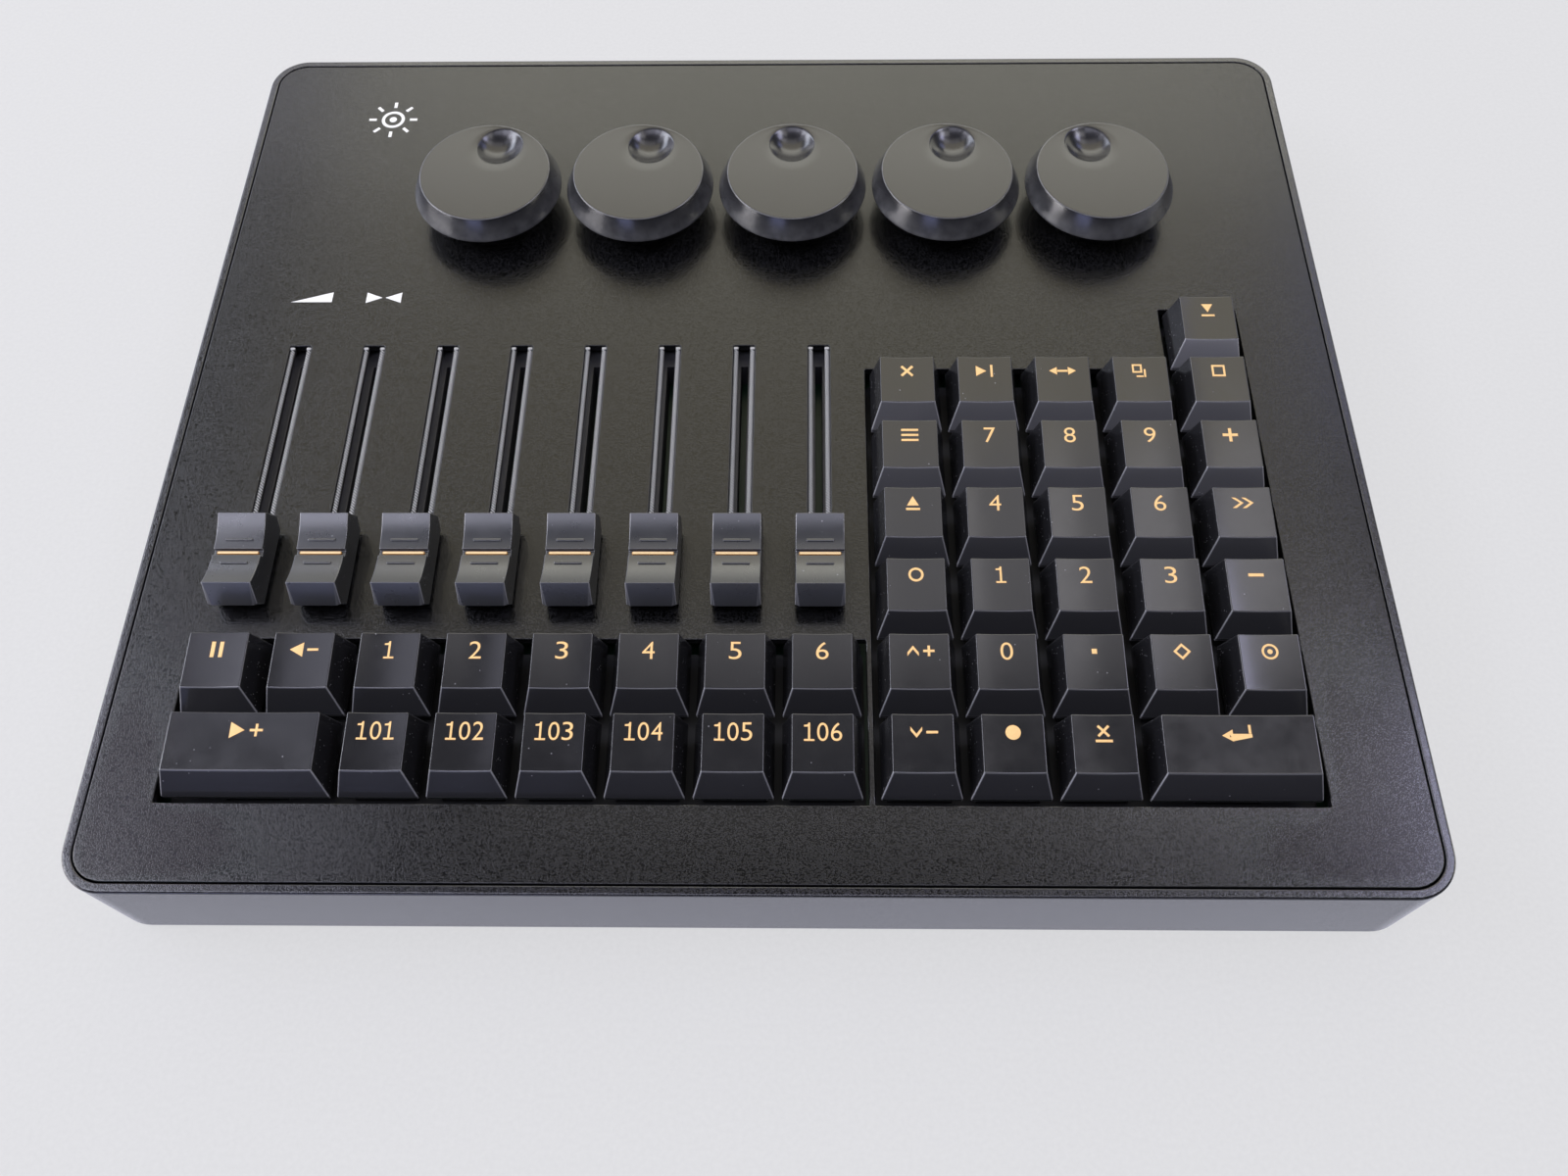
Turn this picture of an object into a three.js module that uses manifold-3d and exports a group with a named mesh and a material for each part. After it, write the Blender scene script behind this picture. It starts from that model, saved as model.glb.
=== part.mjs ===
// A desktop lighting controller: a shallow metal case with an inset top panel, eight slide
// faders, five rotary encoder knobs and forty-five keys. All lengths are in millimetres.
// X runs to the right, Y to the back and Z up. The origin is under the middle of the case,
// on the surface that its feet stand on.
import * as THREE from "three";
import { mergeVertices } from "three/addons/utils/BufferGeometryUtils.js";
import Module from "manifold-3d";

const wasm = await Module();
wasm.setup();

// Clearances that several pieces share
const runningGap = 0.3;
const seatGap = 0.3;
const overrun = 1;
const weld = 0.1;

// Key grid
const keyPitch = 19.05;
const leftColumns = 8;
const leftRows = 2;
const rightColumns = 5;
const rightRows = 6;
const blockGap = 2.15;
const cutoutMargin = 0.45;

// Case
const leftMargin = 17.2;
const rightMargin = 24;
const frontMargin = 20.1;
const backMargin = 58.2;
const caseCornerRadius = 10;
const wallHeight = 26.75;
const wallThickness = 2.1;
const floorThickness = 2;
const footHeight = 1.5;
const footRadius = 7;
const footInset = 24;

// Top panel and the threaded posts that it stands on
const panelThickness = 2;
const panelGap = 0.35;
const postRadius = 3.4;
const postInset = 8.5;
const pilotRadius = 1.25;
const pilotDepth = 8;
const screwHoleRadius = 1.7;
const screwHeadRadius = 3.1;
const screwHeadDepth = 1.1;

// Keycap, measured from its cell's front left corner and from the panel's top face
const keyTopWidth = 13.16;
const keyTopDepth = 12.9;
const keyTopSetback = 4.3;
const keyFrontRise = 7;
const keyBackRise = 8;
const keySideMargin = 0.82;
const keyFrontFoot = 1.1;
const keyBackFoot = 0.85;
const keyShoulderDrop = 0.5;
const keyLip = 1;
const keyWall = 1.3;
const keyRoof = 1.5;
const keyTravel = 3.6;
const stemWidth = 4.4;
const stemEngagement = 6.5;
const stabiliserReach = 11.9;

// Key switches, their plate and the main board
const switchWidth = 14;
const switchTopWidth = 10;
const switchTopDepth = 9.4;
const switchRise = 6.6;
const plateClearance = 1.9;
const keyPlateThickness = 1.5;
const switchFloor = 1.1;
const stabiliserWidth = 7.4;
const boardThickness = 1.6;
const boardMargin = 7;
const boardPostRadius = 2.4;
const boardPostInset = 3;

// Slide faders
const faderTravel = 60;
const faderKeyGap = 6.6;
const faderShift = 0.38;
const slotWidth = 5.5;
const slotEndMargin = 5.65;
const capWidth = 11.5;
const capLength = 24.1;
const capFootLength = 19.6;
const capPeakSpacing = 18.3;
const capUndersideRise = 1;
const capShoulderRise = 4.5;
const capPeakRise = 10.15;
const capValleyRise = 8;
const capWall = 1.3;
const capRoof = 1.4;
const indexGrooveWidth = 1.6;
const indexGrooveDepth = 0.9;
const leverThickness = 1.2;
const leverWidth = 4;
const leverSocketWall = 1.4;
const leverEngagement = 3.5;
const leverFloorGap = 1;
const trackWidth = 9;
const trackEndMargin = 12;
const trackDrop = 2.5;

// Rotary encoders and their knobs
const knobCount = 5;
const knobSpacing = 1.6;
const knobRowShift = 7.27;
const knobRowGap = 37;
const knobTopRadius = 17.2;
const knobSkirtRadius = 19.65;
const knobRise = 13.1;
const knobSkirtRise = 7.3;
const knobSkirtEdge = 0.6;
const knobSkirtWall = 1.7;
const knobRoof = 4;
const knobHubRadius = 7;
const knobHubRise = 6.4;
const dimpleRadius = 6;
const dimpleDepth = 2.6;
const dimpleOffset = 9.9;
const dimpleTurns = [-18, -17, 1, -11, 17];
const shaftRadius = 3;
const shaftEngagement = 10;
const shaftFloorGap = 1;
const bushRadius = 4.5;
const bushRise = 4.4;
const nutRadius = 6.4;
const nutHeight = 2;
const encoderWidth = 13;
const encoderHeight = 6.9;
const encoderBoardWidth = 22;
const encoderBoardMargin = 12;

// Data socket in the rear wall
const socketWidth = 9;
const socketHeight = 3.3;
const socketDepth = 7.4;
const socketWall = 0.35;
const socketCavityDepth = 6.2;
const tongueWidth = 6.6;
const tongueThickness = 0.7;
const tongueLength = 4.5;
const socketBoardWidth = 24;
const socketBoardDepth = 16;
const socketPostRadius = 2.5;
const socketPostInset = 3.5;
const socketShift = 90;

// How finely round shapes are cut
const cornerSteps = 7;
const knobSides = 32;
const dimpleSides = 16;
const postSides = 10;
const footSides = 16;
const shaftSides = 12;
const nutSides = 6;
const saddleSteps = 6;
const ringCorners = 4;

// Key names, front row first and left to right
const leftKeyRows = [
  [
    "go_key",
    "executor_101_key",
    "executor_102_key",
    "executor_103_key",
    "executor_104_key",
    "executor_105_key",
    "executor_106_key",
  ],
  [
    "pause_key",
    "go_back_key",
    "executor_1_key",
    "executor_2_key",
    "executor_3_key",
    "executor_4_key",
    "executor_5_key",
    "executor_6_key",
  ],
];
const rightKeyRows = [
  [
    "page_down_key",
    "store_key",
    "clear_key",
    "enter_key",
  ],
  [
    "page_up_key",
    "digit_0_key",
    "dot_key",
    "if_key",
    "at_key",
  ],
  [
    "escape_key",
    "digit_1_key",
    "digit_2_key",
    "digit_3_key",
    "minus_key",
  ],
  [
    "update_key",
    "digit_4_key",
    "digit_5_key",
    "digit_6_key",
    "through_key",
  ],
  [
    "sequence_key",
    "digit_7_key",
    "digit_8_key",
    "digit_9_key",
    "plus_key",
  ],
  [
    "delete_key",
    "assign_key",
    "move_key",
    "copy_key",
    "select_key",
  ],
];
const wideKeys = ["go_key", "enter_key"];
const wideCells = 2;
const faderNames = [
  "master_fader",
  "crossfade_fader",
  "fader_1",
  "fader_2",
  "fader_3",
  "fader_4",
  "fader_5",
  "fader_6",
];

// Places along X, from the case's left face
const leftBlockWidth = leftColumns * keyPitch;
const rightBlockWidth = rightColumns * keyPitch;
const caseWidth = leftMargin + leftBlockWidth + blockGap + rightBlockWidth + rightMargin;
const leftBlockX = leftMargin - caseWidth / 2;
const rightBlockX = leftBlockX + leftBlockWidth + blockGap;
const knobPitch = 2 * knobSkirtRadius + knobSpacing;

// Places along Y, from the case's front face
const leftBlockDepth = leftRows * keyPitch;
const rightBlockDepth = (rightRows + 1) * keyPitch;
const faderOffset = frontMargin + leftBlockDepth + faderKeyGap + capLength / 2;
const faderReach = faderOffset + faderTravel + capLength / 2;
const keyReach = frontMargin + rightBlockDepth;
const knobOffset = Math.max(faderReach, keyReach) + knobRowGap;
const caseDepth = knobOffset + backMargin;
const blockY = frontMargin - caseDepth / 2;
const faderY = faderOffset - caseDepth / 2;
const knobY = knobOffset - caseDepth / 2;
const slotY = faderY + faderTravel / 2;
const slotLength = faderTravel + 2 * slotEndMargin;

// Heights, with those of the controls measured from the panel's top face
const floorTop = footHeight + floorThickness;
const panelTop = footHeight + wallHeight;
const panelBottom = panelTop - panelThickness;
const keyPlateTop = -keyShoulderDrop - keyLip - keyTravel - plateClearance;
const switchTop = keyPlateTop + switchRise;
const stemBottom = switchTop - stemEngagement;
const stemBoreBottom = stemBottom - keyTravel - runningGap;
const boardTop = stemBoreBottom - switchFloor;
const boardBottom = boardTop - boardThickness;
const trackTop = -panelThickness - trackDrop;
const leverBottom = trackTop - leverEngagement;
const leverBoreBottom = leverBottom - leverFloorGap;
const encoderBottom = -panelThickness - encoderHeight;
const shaftBottom = bushRise - shaftEngagement;
const shaftBoreBottom = shaftBottom - shaftFloorGap;

// Materials
const paint = new THREE.MeshStandardMaterial({ color: 0x1d1d1e, roughness: 0.55, metalness: 0.3 });
const caseFinish = new THREE.MeshStandardMaterial({ color: 0x222225, roughness: 0.45, metalness: 0.3 });
const keyPlastic = new THREE.MeshStandardMaterial({ color: 0x0e0e10, roughness: 0.4, metalness: 0 });
const capPlastic = new THREE.MeshStandardMaterial({ color: 0x1b1c20, roughness: 0.45, metalness: 0 });
const knobFinish = new THREE.MeshStandardMaterial({ color: 0x1c1c1e, roughness: 0.35, metalness: 0.2 });

// A closed geometry as a solid that can be joined and cut.
function solidOf(geometry) {
  const bare = geometry.index ? geometry.toNonIndexed() : geometry.clone();
  bare.deleteAttribute("normal");
  bare.deleteAttribute("uv");
  const merged = mergeVertices(bare);
  return new wasm.Manifold(
    new wasm.Mesh({
      numProp: 3,
      vertProperties: new Float32Array(merged.attributes.position.array),
      triVerts: new Uint32Array(merged.index.array),
    }),
  );
}

// A solid as a geometry, flat shaded.
function geometryOf(solid) {
  const mesh = solid.getMesh();
  const indexed = new THREE.BufferGeometry();
  indexed.setAttribute("position", new THREE.BufferAttribute(mesh.vertProperties, 3));
  indexed.setIndex(new THREE.BufferAttribute(mesh.triVerts, 1));
  const geometry = indexed.toNonIndexed();
  geometry.computeVertexNormals();
  return geometry;
}

function joined(solids) {
  return solids.reduce((whole, piece) => whole.add(piece));
}

function cutBy(solid, cutters) {
  return solid.subtract(joined(cutters));
}

// A block that stands at a height, centred on a place.
function block(width, depth, x, y, bottom, top) {
  const geometry = new THREE.BoxGeometry(width, depth, top - bottom);
  return solidOf(geometry.translate(x, y, (bottom + top) / 2));
}

// An upright round post between two heights.
function post(radius, sides, x, y, bottom, top) {
  const geometry = new THREE.CylinderGeometry(radius, radius, top - bottom, sides);
  return solidOf(geometry.rotateX(Math.PI / 2).translate(x, y, (bottom + top) / 2));
}

// A solid stacked from four-cornered rings, lowest first. A ring may rise towards the back.
function stackedRings(rings) {
  const corners = rings.flatMap((ring) => [
    [ring.left, ring.front, ring.frontZ],
    [ring.right, ring.front, ring.frontZ],
    [ring.right, ring.back, ring.backZ],
    [ring.left, ring.back, ring.backZ],
  ]);
  const faces = [];
  rings.slice(1).forEach((ring, level) => {
    [0, 1, 2, 3].forEach((side) => {
      const next = (side + 1) % ringCorners;
      const low = level * ringCorners;
      const high = low + ringCorners;
      faces.push([low + side, low + next, high + next]);
      faces.push([low + side, high + next, high + side]);
    });
  });
  const last = (rings.length - 1) * ringCorners;
  faces.push([0, 2, 1], [0, 3, 2]);
  faces.push([last, last + 1, last + 2], [last, last + 2, last + 3]);
  const geometry = new THREE.BufferGeometry();
  geometry.setAttribute("position", new THREE.Float32BufferAttribute(corners.flat(), 3));
  geometry.setIndex(faces.flat());
  return solidOf(geometry);
}

// A rectangle with rounded corners, centred on the origin.
function roundedRectangle(width, depth, radius) {
  const x = width / 2 - radius;
  const y = depth / 2 - radius;
  const shape = new THREE.Shape();
  shape.absarc(x, y, radius, 0, Math.PI / 2);
  shape.absarc(-x, y, radius, Math.PI / 2, Math.PI);
  shape.absarc(-x, -y, radius, Math.PI, 1.5 * Math.PI);
  shape.absarc(x, -y, radius, 1.5 * Math.PI, 2 * Math.PI);
  shape.closePath();
  return shape;
}

// A flat outline raised between two heights.
function raised(shape, steps, bottom, top) {
  const settings = { depth: top - bottom, bevelEnabled: false, curveSegments: steps };
  return solidOf(new THREE.ExtrudeGeometry(shape, settings).translate(0, 0, bottom));
}

// Places round the margin where the panel's posts meet the case's screws.
function postPlaces() {
  const x = caseWidth / 2 - postInset;
  const y = caseDepth / 2 - postInset;
  return [-x, 0, x].flatMap((px) => [-y, 0, y].map((py) => [px, py])).filter(([px, py]) => px || py);
}

function footPlaces() {
  const x = caseWidth / 2 - footInset;
  const y = caseDepth / 2 - footInset;
  return [-x, x].flatMap((px) => [-y, y].map((py) => [px, py]));
}

// Every key as its name, its width in cells and its cell's front left corner.
function keyPlaces() {
  const places = [];
  const addRows = (rows, blockX) =>
    rows.forEach((row, level) => {
      let column = 0;
      row.forEach((name) => {
        const cells = wideKeys.includes(name) ? wideCells : 1;
        places.push({ name, cells, x: blockX + column * keyPitch, y: blockY + level * keyPitch });
        column += cells;
      });
    });
  addRows(leftKeyRows, leftBlockX);
  addRows(rightKeyRows, rightBlockX);
  places.push({
    name: "backup_key",
    cells: 1,
    x: rightBlockX + (rightColumns - 1) * keyPitch,
    y: blockY + rightRows * keyPitch,
  });
  return places;
}

function faderX(index) {
  return leftBlockX + (index + 1 / 2) * keyPitch - faderShift;
}

function knobX(index) {
  return knobRowShift + (index - (knobCount - 1) / 2) * knobPitch;
}

const knobIndexes = [...Array(knobCount).keys()];

// The socket's shell with its tongue, on a small board that stands on the case's floor.
function dataSocket() {
  const mouth = caseDepth / 2 - wallThickness - runningGap;
  const middle = footHeight + wallHeight / 2;
  const bottom = middle - socketHeight / 2;
  const boardLow = bottom - boardThickness;
  const boardY = mouth - socketBoardDepth / 2;
  const shell = block(
    socketWidth,
    socketDepth,
    socketShift,
    mouth - socketDepth / 2,
    bottom - weld,
    bottom + socketHeight,
  );
  const cavity = block(
    socketWidth - 2 * socketWall,
    socketCavityDepth + overrun,
    socketShift,
    mouth + overrun / 2 - socketCavityDepth / 2,
    bottom + socketWall,
    bottom + socketHeight - socketWall,
  );
  const tongue = block(
    tongueWidth,
    tongueLength + weld,
    socketShift,
    mouth - socketCavityDepth + tongueLength / 2 - weld / 2,
    middle - tongueThickness / 2,
    middle + tongueThickness / 2,
  );
  const board = block(socketBoardWidth, socketBoardDepth, socketShift, boardY, boardLow, bottom);
  const postX = socketBoardWidth / 2 - socketPostInset;
  const postY = socketBoardDepth / 2 - socketPostInset;
  const posts = [-postX, postX].flatMap((x) =>
    [-postY, postY].map((y) =>
      post(socketPostRadius, postSides, socketShift + x, boardY + y, floorTop - weld, boardLow + weld),
    ),
  );
  return joined([shell.subtract(cavity), tongue, board, ...posts]);
}

// The tray: a floor, four walls whose top edge is the rim, feet, screw holes and the socket.
function bottomCase() {
  const outside = raised(
    roundedRectangle(caseWidth, caseDepth, caseCornerRadius),
    cornerSteps,
    footHeight,
    panelTop,
  );
  const inside = raised(
    roundedRectangle(
      caseWidth - 2 * wallThickness,
      caseDepth - 2 * wallThickness,
      caseCornerRadius - wallThickness,
    ),
    cornerSteps,
    floorTop,
    panelTop + overrun,
  );
  const holes = postPlaces().flatMap(([x, y]) => [
    post(screwHoleRadius, postSides, x, y, footHeight - overrun, floorTop + overrun),
    post(screwHeadRadius, postSides, x, y, footHeight - overrun, footHeight + screwHeadDepth),
  ]);
  const window = block(
    socketWidth + 2 * runningGap,
    wallThickness + 2 * overrun,
    socketShift,
    caseDepth / 2 - wallThickness / 2,
    footHeight + wallHeight / 2 - socketHeight / 2 - runningGap,
    footHeight + wallHeight / 2 + socketHeight / 2 + runningGap,
  );
  const feet = footPlaces().map(([x, y]) => post(footRadius, footSides, x, y, 0, footHeight + weld));
  const tray = cutBy(outside, [inside, window, ...holes]);
  return joined([tray, ...feet, dataSocket()]);
}

// Openings in the panel for the two key blocks, cut a little larger than their cells.
function keyOpenings() {
  const opening = (x, y, columns, rows) =>
    block(
      columns * keyPitch + 2 * cutoutMargin,
      rows * keyPitch + 2 * cutoutMargin,
      x + (columns * keyPitch) / 2,
      y + (rows * keyPitch) / 2,
      panelBottom - overrun,
      panelTop + overrun,
    );
  const lastColumnX = rightBlockX + (rightColumns - 1) * keyPitch;
  return [
    opening(leftBlockX, blockY, leftColumns, leftRows),
    opening(rightBlockX, blockY, rightColumns, rightRows),
    opening(lastColumnX, blockY, 1, rightRows + 1),
  ];
}

function faderSlots() {
  return faderNames.map((name, index) =>
    block(slotWidth, slotLength, faderX(index), slotY, panelBottom - overrun, panelTop + overrun),
  );
}

// Threaded posts that hang from the panel and meet the floor.
function panelPosts() {
  const places = postPlaces();
  const bottom = floorTop + seatGap;
  const posts = places.map(([x, y]) => post(postRadius, postSides, x, y, bottom, panelBottom + weld));
  const pilots = places.map(([x, y]) =>
    post(pilotRadius, nutSides, x, y, bottom - overrun, bottom + pilotDepth),
  );
  return cutBy(joined(posts), pilots);
}

// The main board under the keys and faders, with the posts that hold it to the panel.
function mainBoard() {
  const left = leftBlockX - boardMargin;
  const right = rightBlockX + rightBlockWidth + boardMargin;
  const front = blockY - boardMargin;
  const back = Math.max(blockY + rightBlockDepth, slotY + slotLength / 2) + boardMargin;
  const middleX = (left + right) / 2;
  const board = block(
    right - left,
    back - front,
    middleX,
    (front + back) / 2,
    panelTop + boardBottom,
    panelTop + boardTop,
  );
  const postXs = [left + boardPostInset, middleX, right - boardPostInset];
  const postYs = [front + boardPostInset, back - boardPostInset];
  const posts = postXs.flatMap((x) =>
    postYs.map((y) => post(boardPostRadius, postSides, x, y, panelTop + boardTop - weld, panelBottom + weld)),
  );
  return joined([board, ...posts]);
}

// The plate that holds the switches of one key block.
function keyPlate(x, y, columns, rows) {
  return block(
    columns * keyPitch,
    rows * keyPitch,
    x + (columns * keyPitch) / 2,
    y + (rows * keyPitch) / 2,
    panelTop + keyPlateTop - keyPlateThickness,
    panelTop + keyPlateTop,
  );
}

// A housing from the board to its narrower top, which a stem's bore goes down into.
function housing(x, y, width, depth, topWidth, topDepth) {
  const ring = (ringWidth, ringDepth, z) => ({
    left: x - ringWidth / 2,
    right: x + ringWidth / 2,
    front: y - ringDepth / 2,
    back: y + ringDepth / 2,
    frontZ: panelTop + z,
    backZ: panelTop + z,
  });
  return stackedRings([
    ring(width, depth, boardTop - weld),
    ring(width, depth, keyPlateTop),
    ring(topWidth, topDepth, switchTop),
  ]);
}

function stemPlaces(key) {
  const x = key.x + (key.cells * keyPitch) / 2;
  const y = key.y + keyPitch / 2;
  const sideStems = key.cells > 1 ? [x - stabiliserReach, x + stabiliserReach] : [];
  return { switchPlace: [x, y], stabiliserPlaces: sideStems.map((sideX) => [sideX, y]) };
}

// A square bore for a stem, open at the top.
function stemBore(x, y, top) {
  const width = stemWidth + 2 * runningGap;
  return block(width, width, x, y, panelTop + stemBoreBottom, panelTop + top + overrun);
}

// The switches of every key, and the stabilisers beside those of the wide keys.
function keySwitches() {
  const housings = [];
  const bores = [];
  const addBore = ([x, y]) => bores.push(stemBore(x, y, switchTop));
  keyPlaces().forEach((key) => {
    const { switchPlace, stabiliserPlaces } = stemPlaces(key);
    housings.push(housing(...switchPlace, switchWidth, switchWidth, switchTopWidth, switchTopDepth));
    addBore(switchPlace);
    stabiliserPlaces.forEach((place) => {
      housings.push(housing(...place, stabiliserWidth, stabiliserWidth, stabiliserWidth, stabiliserWidth));
      addBore(place);
    });
  });
  return cutBy(joined(housings), bores);
}

// A slide potentiometer's track, open at the top where its lever runs.
function faderTrack(index) {
  const x = faderX(index);
  const length = slotLength + 2 * trackEndMargin;
  const runway = faderTravel + leverWidth + 2 * runningGap;
  const body = block(trackWidth, length, x, slotY, panelTop + boardTop - weld, panelTop + trackTop);
  const groove = block(
    leverThickness + 2 * runningGap,
    runway,
    x,
    slotY,
    panelTop + leverBoreBottom,
    panelTop + trackTop + overrun,
  );
  return body.subtract(groove);
}

// An encoder's body under the panel, with its threaded bush and nut above.
function encoder(index) {
  const x = knobX(index);
  const body = block(
    encoderWidth,
    encoderWidth,
    x,
    knobY,
    panelTop + encoderBottom,
    panelBottom + weld,
  );
  const bush = post(bushRadius, postSides, x, knobY, panelBottom, panelTop + bushRise);
  const nut = post(nutRadius, nutSides, x, knobY, panelTop - weld, panelTop + nutHeight);
  return joined([body, bush, nut]);
}

function encoderBores() {
  return knobIndexes.map((index) =>
    post(
      shaftRadius + runningGap,
      shaftSides,
      knobX(index),
      knobY,
      panelTop + shaftBoreBottom,
      panelTop + bushRise + overrun,
    ),
  );
}

function encoderBoard() {
  return block(
    (knobCount - 1) * knobPitch + 2 * encoderBoardMargin,
    encoderBoardWidth,
    knobRowShift,
    knobY,
    panelTop + encoderBottom - boardThickness,
    panelTop + encoderBottom + weld,
  );
}

// The panel with all that is fixed to it: posts, boards, switches, fader tracks and encoders.
function topPanel() {
  const inset = wallThickness + panelGap;
  const sheet = raised(
    roundedRectangle(caseWidth - 2 * inset, caseDepth - 2 * inset, caseCornerRadius - inset),
    cornerSteps,
    panelBottom,
    panelTop,
  );
  const panel = cutBy(sheet, [...keyOpenings(), ...faderSlots()]);
  const plates = joined([
    keyPlate(leftBlockX, blockY, leftColumns, leftRows),
    keyPlate(rightBlockX, blockY, rightColumns, rightRows),
    keyPlate(rightBlockX + (rightColumns - 1) * keyPitch, blockY, 1, rightRows + 1),
  ]);
  const switchBores = keyPlaces().flatMap((key) => {
    const { switchPlace, stabiliserPlaces } = stemPlaces(key);
    return [switchPlace, ...stabiliserPlaces].map(([x, y]) => stemBore(x, y, keyPlateTop));
  });
  const tracks = faderNames.map((name, index) => faderTrack(index));
  const encoders = knobIndexes.map((index) => encoder(index));
  const body = joined([
    panel,
    panelPosts(),
    mainBoard(),
    cutBy(plates, switchBores),
    keySwitches(),
    ...tracks,
    ...encoders,
    encoderBoard(),
  ]);
  return cutBy(body, encoderBores());
}

// A hollow keycap with its stem, from its cell's front left corner at the panel's top face.
function keycap(cells) {
  const extraWidth = (cells - 1) * keyPitch;
  const middle = (cells * keyPitch) / 2;
  const halfFoot = (keyPitch + extraWidth) / 2 - keySideMargin;
  const halfTop = (keyTopWidth + extraWidth) / 2;
  const lipBottom = -keyShoulderDrop - keyLip;
  const ring = (half, inset, front, back, frontZ, backZ) => ({
    left: middle - half + inset,
    right: middle + half - inset,
    front: front + inset,
    back: back - inset,
    frontZ,
    backZ,
  });
  const footRing = (inset, z) => ring(halfFoot, inset, keyFrontFoot, keyPitch - keyBackFoot, z, z);
  const topBack = keyTopSetback + keyTopDepth;
  const outside = stackedRings([
    footRing(0, lipBottom),
    footRing(0, -keyShoulderDrop),
    ring(halfTop, 0, keyTopSetback, topBack, keyFrontRise, keyBackRise),
  ]);
  const inside = stackedRings([
    footRing(keyWall, lipBottom - overrun),
    footRing(keyWall, -keyShoulderDrop),
    ring(halfTop, keyWall, keyTopSetback, topBack, keyFrontRise - keyRoof, keyBackRise - keyRoof),
  ]);
  const stemXs = cells > 1 ? [middle - stabiliserReach, middle, middle + stabiliserReach] : [middle];
  const stems = stemXs.map((x) =>
    block(stemWidth, stemWidth, x, keyPitch / 2, stemBottom, keyFrontRise - keyRoof / 2),
  );
  return geometryOf(joined([outside.subtract(inside), ...stems]));
}

// The fader cap's side outline, with Y along it: a foot, ends that lean out to a shoulder and in
// again above it, and a hollowed saddle between two peaks.
function capOutline(lower, roofDrop, endInset) {
  const halfFoot = capFootLength / 2 - endInset;
  const halfLength = capLength / 2 - endInset;
  const halfPeak = capPeakSpacing / 2 - endInset;
  const outline = new THREE.Shape();
  const saddleDip = 2 * capValleyRise - capPeakRise;
  outline.moveTo(-halfFoot, lower);
  outline.lineTo(halfFoot, lower);
  if (endInset) outline.lineTo(halfFoot, capUndersideRise);
  outline.lineTo(halfLength, capShoulderRise);
  outline.lineTo(halfPeak, capPeakRise - roofDrop);
  outline.quadraticCurveTo(0, saddleDip - roofDrop, -halfPeak, capPeakRise - roofDrop);
  outline.lineTo(-halfLength, capShoulderRise);
  if (endInset) outline.lineTo(-halfFoot, capUndersideRise);
  outline.closePath();
  return outline;
}

// That outline as a solid across the cap's width.
function capBody(outline, width) {
  const settings = { depth: width, bevelEnabled: false, curveSegments: saddleSteps };
  const geometry = new THREE.ExtrudeGeometry(outline, settings);
  geometry.translate(0, 0, -width / 2);
  geometry.rotateX(Math.PI / 2);
  geometry.rotateZ(Math.PI / 2);
  return solidOf(geometry);
}

// A hollow fader cap on its flat lever, from the lever's middle at the panel's top face.
function faderCap() {
  const outside = capBody(capOutline(capUndersideRise, 0, 0), capWidth);
  const inside = capBody(
    capOutline(capUndersideRise - overrun, capRoof, capWall),
    capWidth - 2 * capWall,
  );
  const grooveBottom = capValleyRise - indexGrooveDepth;
  const groove = block(capWidth + 2 * overrun, indexGrooveWidth, 0, 0, grooveBottom, capPeakRise);
  const socketTop = capValleyRise - indexGrooveDepth - weld;
  const socket = block(
    leverThickness + 2 * leverSocketWall,
    leverWidth + 2 * leverSocketWall,
    0,
    0,
    capUndersideRise,
    socketTop,
  );
  const lever = block(leverThickness, leverWidth, 0, 0, leverBottom, socketTop);
  return geometryOf(joined([outside.subtract(inside).subtract(groove), socket, lever]));
}

// A knob with its shaft, turned about its own axis, with a finger dimple near the back edge.
function knob() {
  const roofBottom = knobRise - knobRoof;
  const innerRadius = knobSkirtRadius - knobSkirtWall;
  const profile = [
    [0, knobHubRise],
    [knobHubRadius, knobHubRise],
    [knobHubRadius, roofBottom],
    [knobTopRadius - knobSkirtWall, roofBottom],
    [innerRadius, knobSkirtRise],
    [knobSkirtRadius, knobSkirtRise],
    [knobSkirtRadius, knobSkirtRise + knobSkirtEdge],
    [knobTopRadius, knobRise],
    [0, knobRise],
  ];
  const points = profile.map(([radius, height]) => new THREE.Vector2(radius, height));
  const turned = new THREE.LatheGeometry(points, knobSides).rotateX(Math.PI / 2);
  const ballRadius = (dimpleRadius ** 2 + dimpleDepth ** 2) / (2 * dimpleDepth);
  const ball = new THREE.SphereGeometry(ballRadius, dimpleSides, dimpleSides);
  ball.rotateX(Math.PI / 2);
  ball.translate(0, dimpleOffset, knobRise - dimpleDepth + ballRadius);
  const shaft = post(shaftRadius, shaftSides, 0, 0, shaftBottom, knobHubRise + weld);
  return geometryOf(joined([solidOf(turned).subtract(solidOf(ball)), shaft]));
}

function named(name, geometry, material) {
  const mesh = new THREE.Mesh(geometry, material.clone());
  mesh.name = name;
  return mesh;
}

const controller = new THREE.Group();
controller.add(named("bottom_case", geometryOf(bottomCase()), caseFinish));
controller.add(named("top_panel", geometryOf(topPanel()), paint));

const controls = new THREE.Group();
controls.position.z = panelTop;
controller.add(controls);

const plainKeycap = keycap(1);
const wideKeycap = keycap(wideCells);
keyPlaces().forEach((key) => {
  const mesh = named(key.name, key.cells > 1 ? wideKeycap : plainKeycap, keyPlastic);
  mesh.position.set(key.x, key.y, 0);
  controls.add(mesh);
});

const cap = faderCap();
faderNames.forEach((name, index) => {
  const mesh = named(name, cap, capPlastic);
  mesh.position.set(faderX(index), faderY, 0);
  controls.add(mesh);
});

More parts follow.
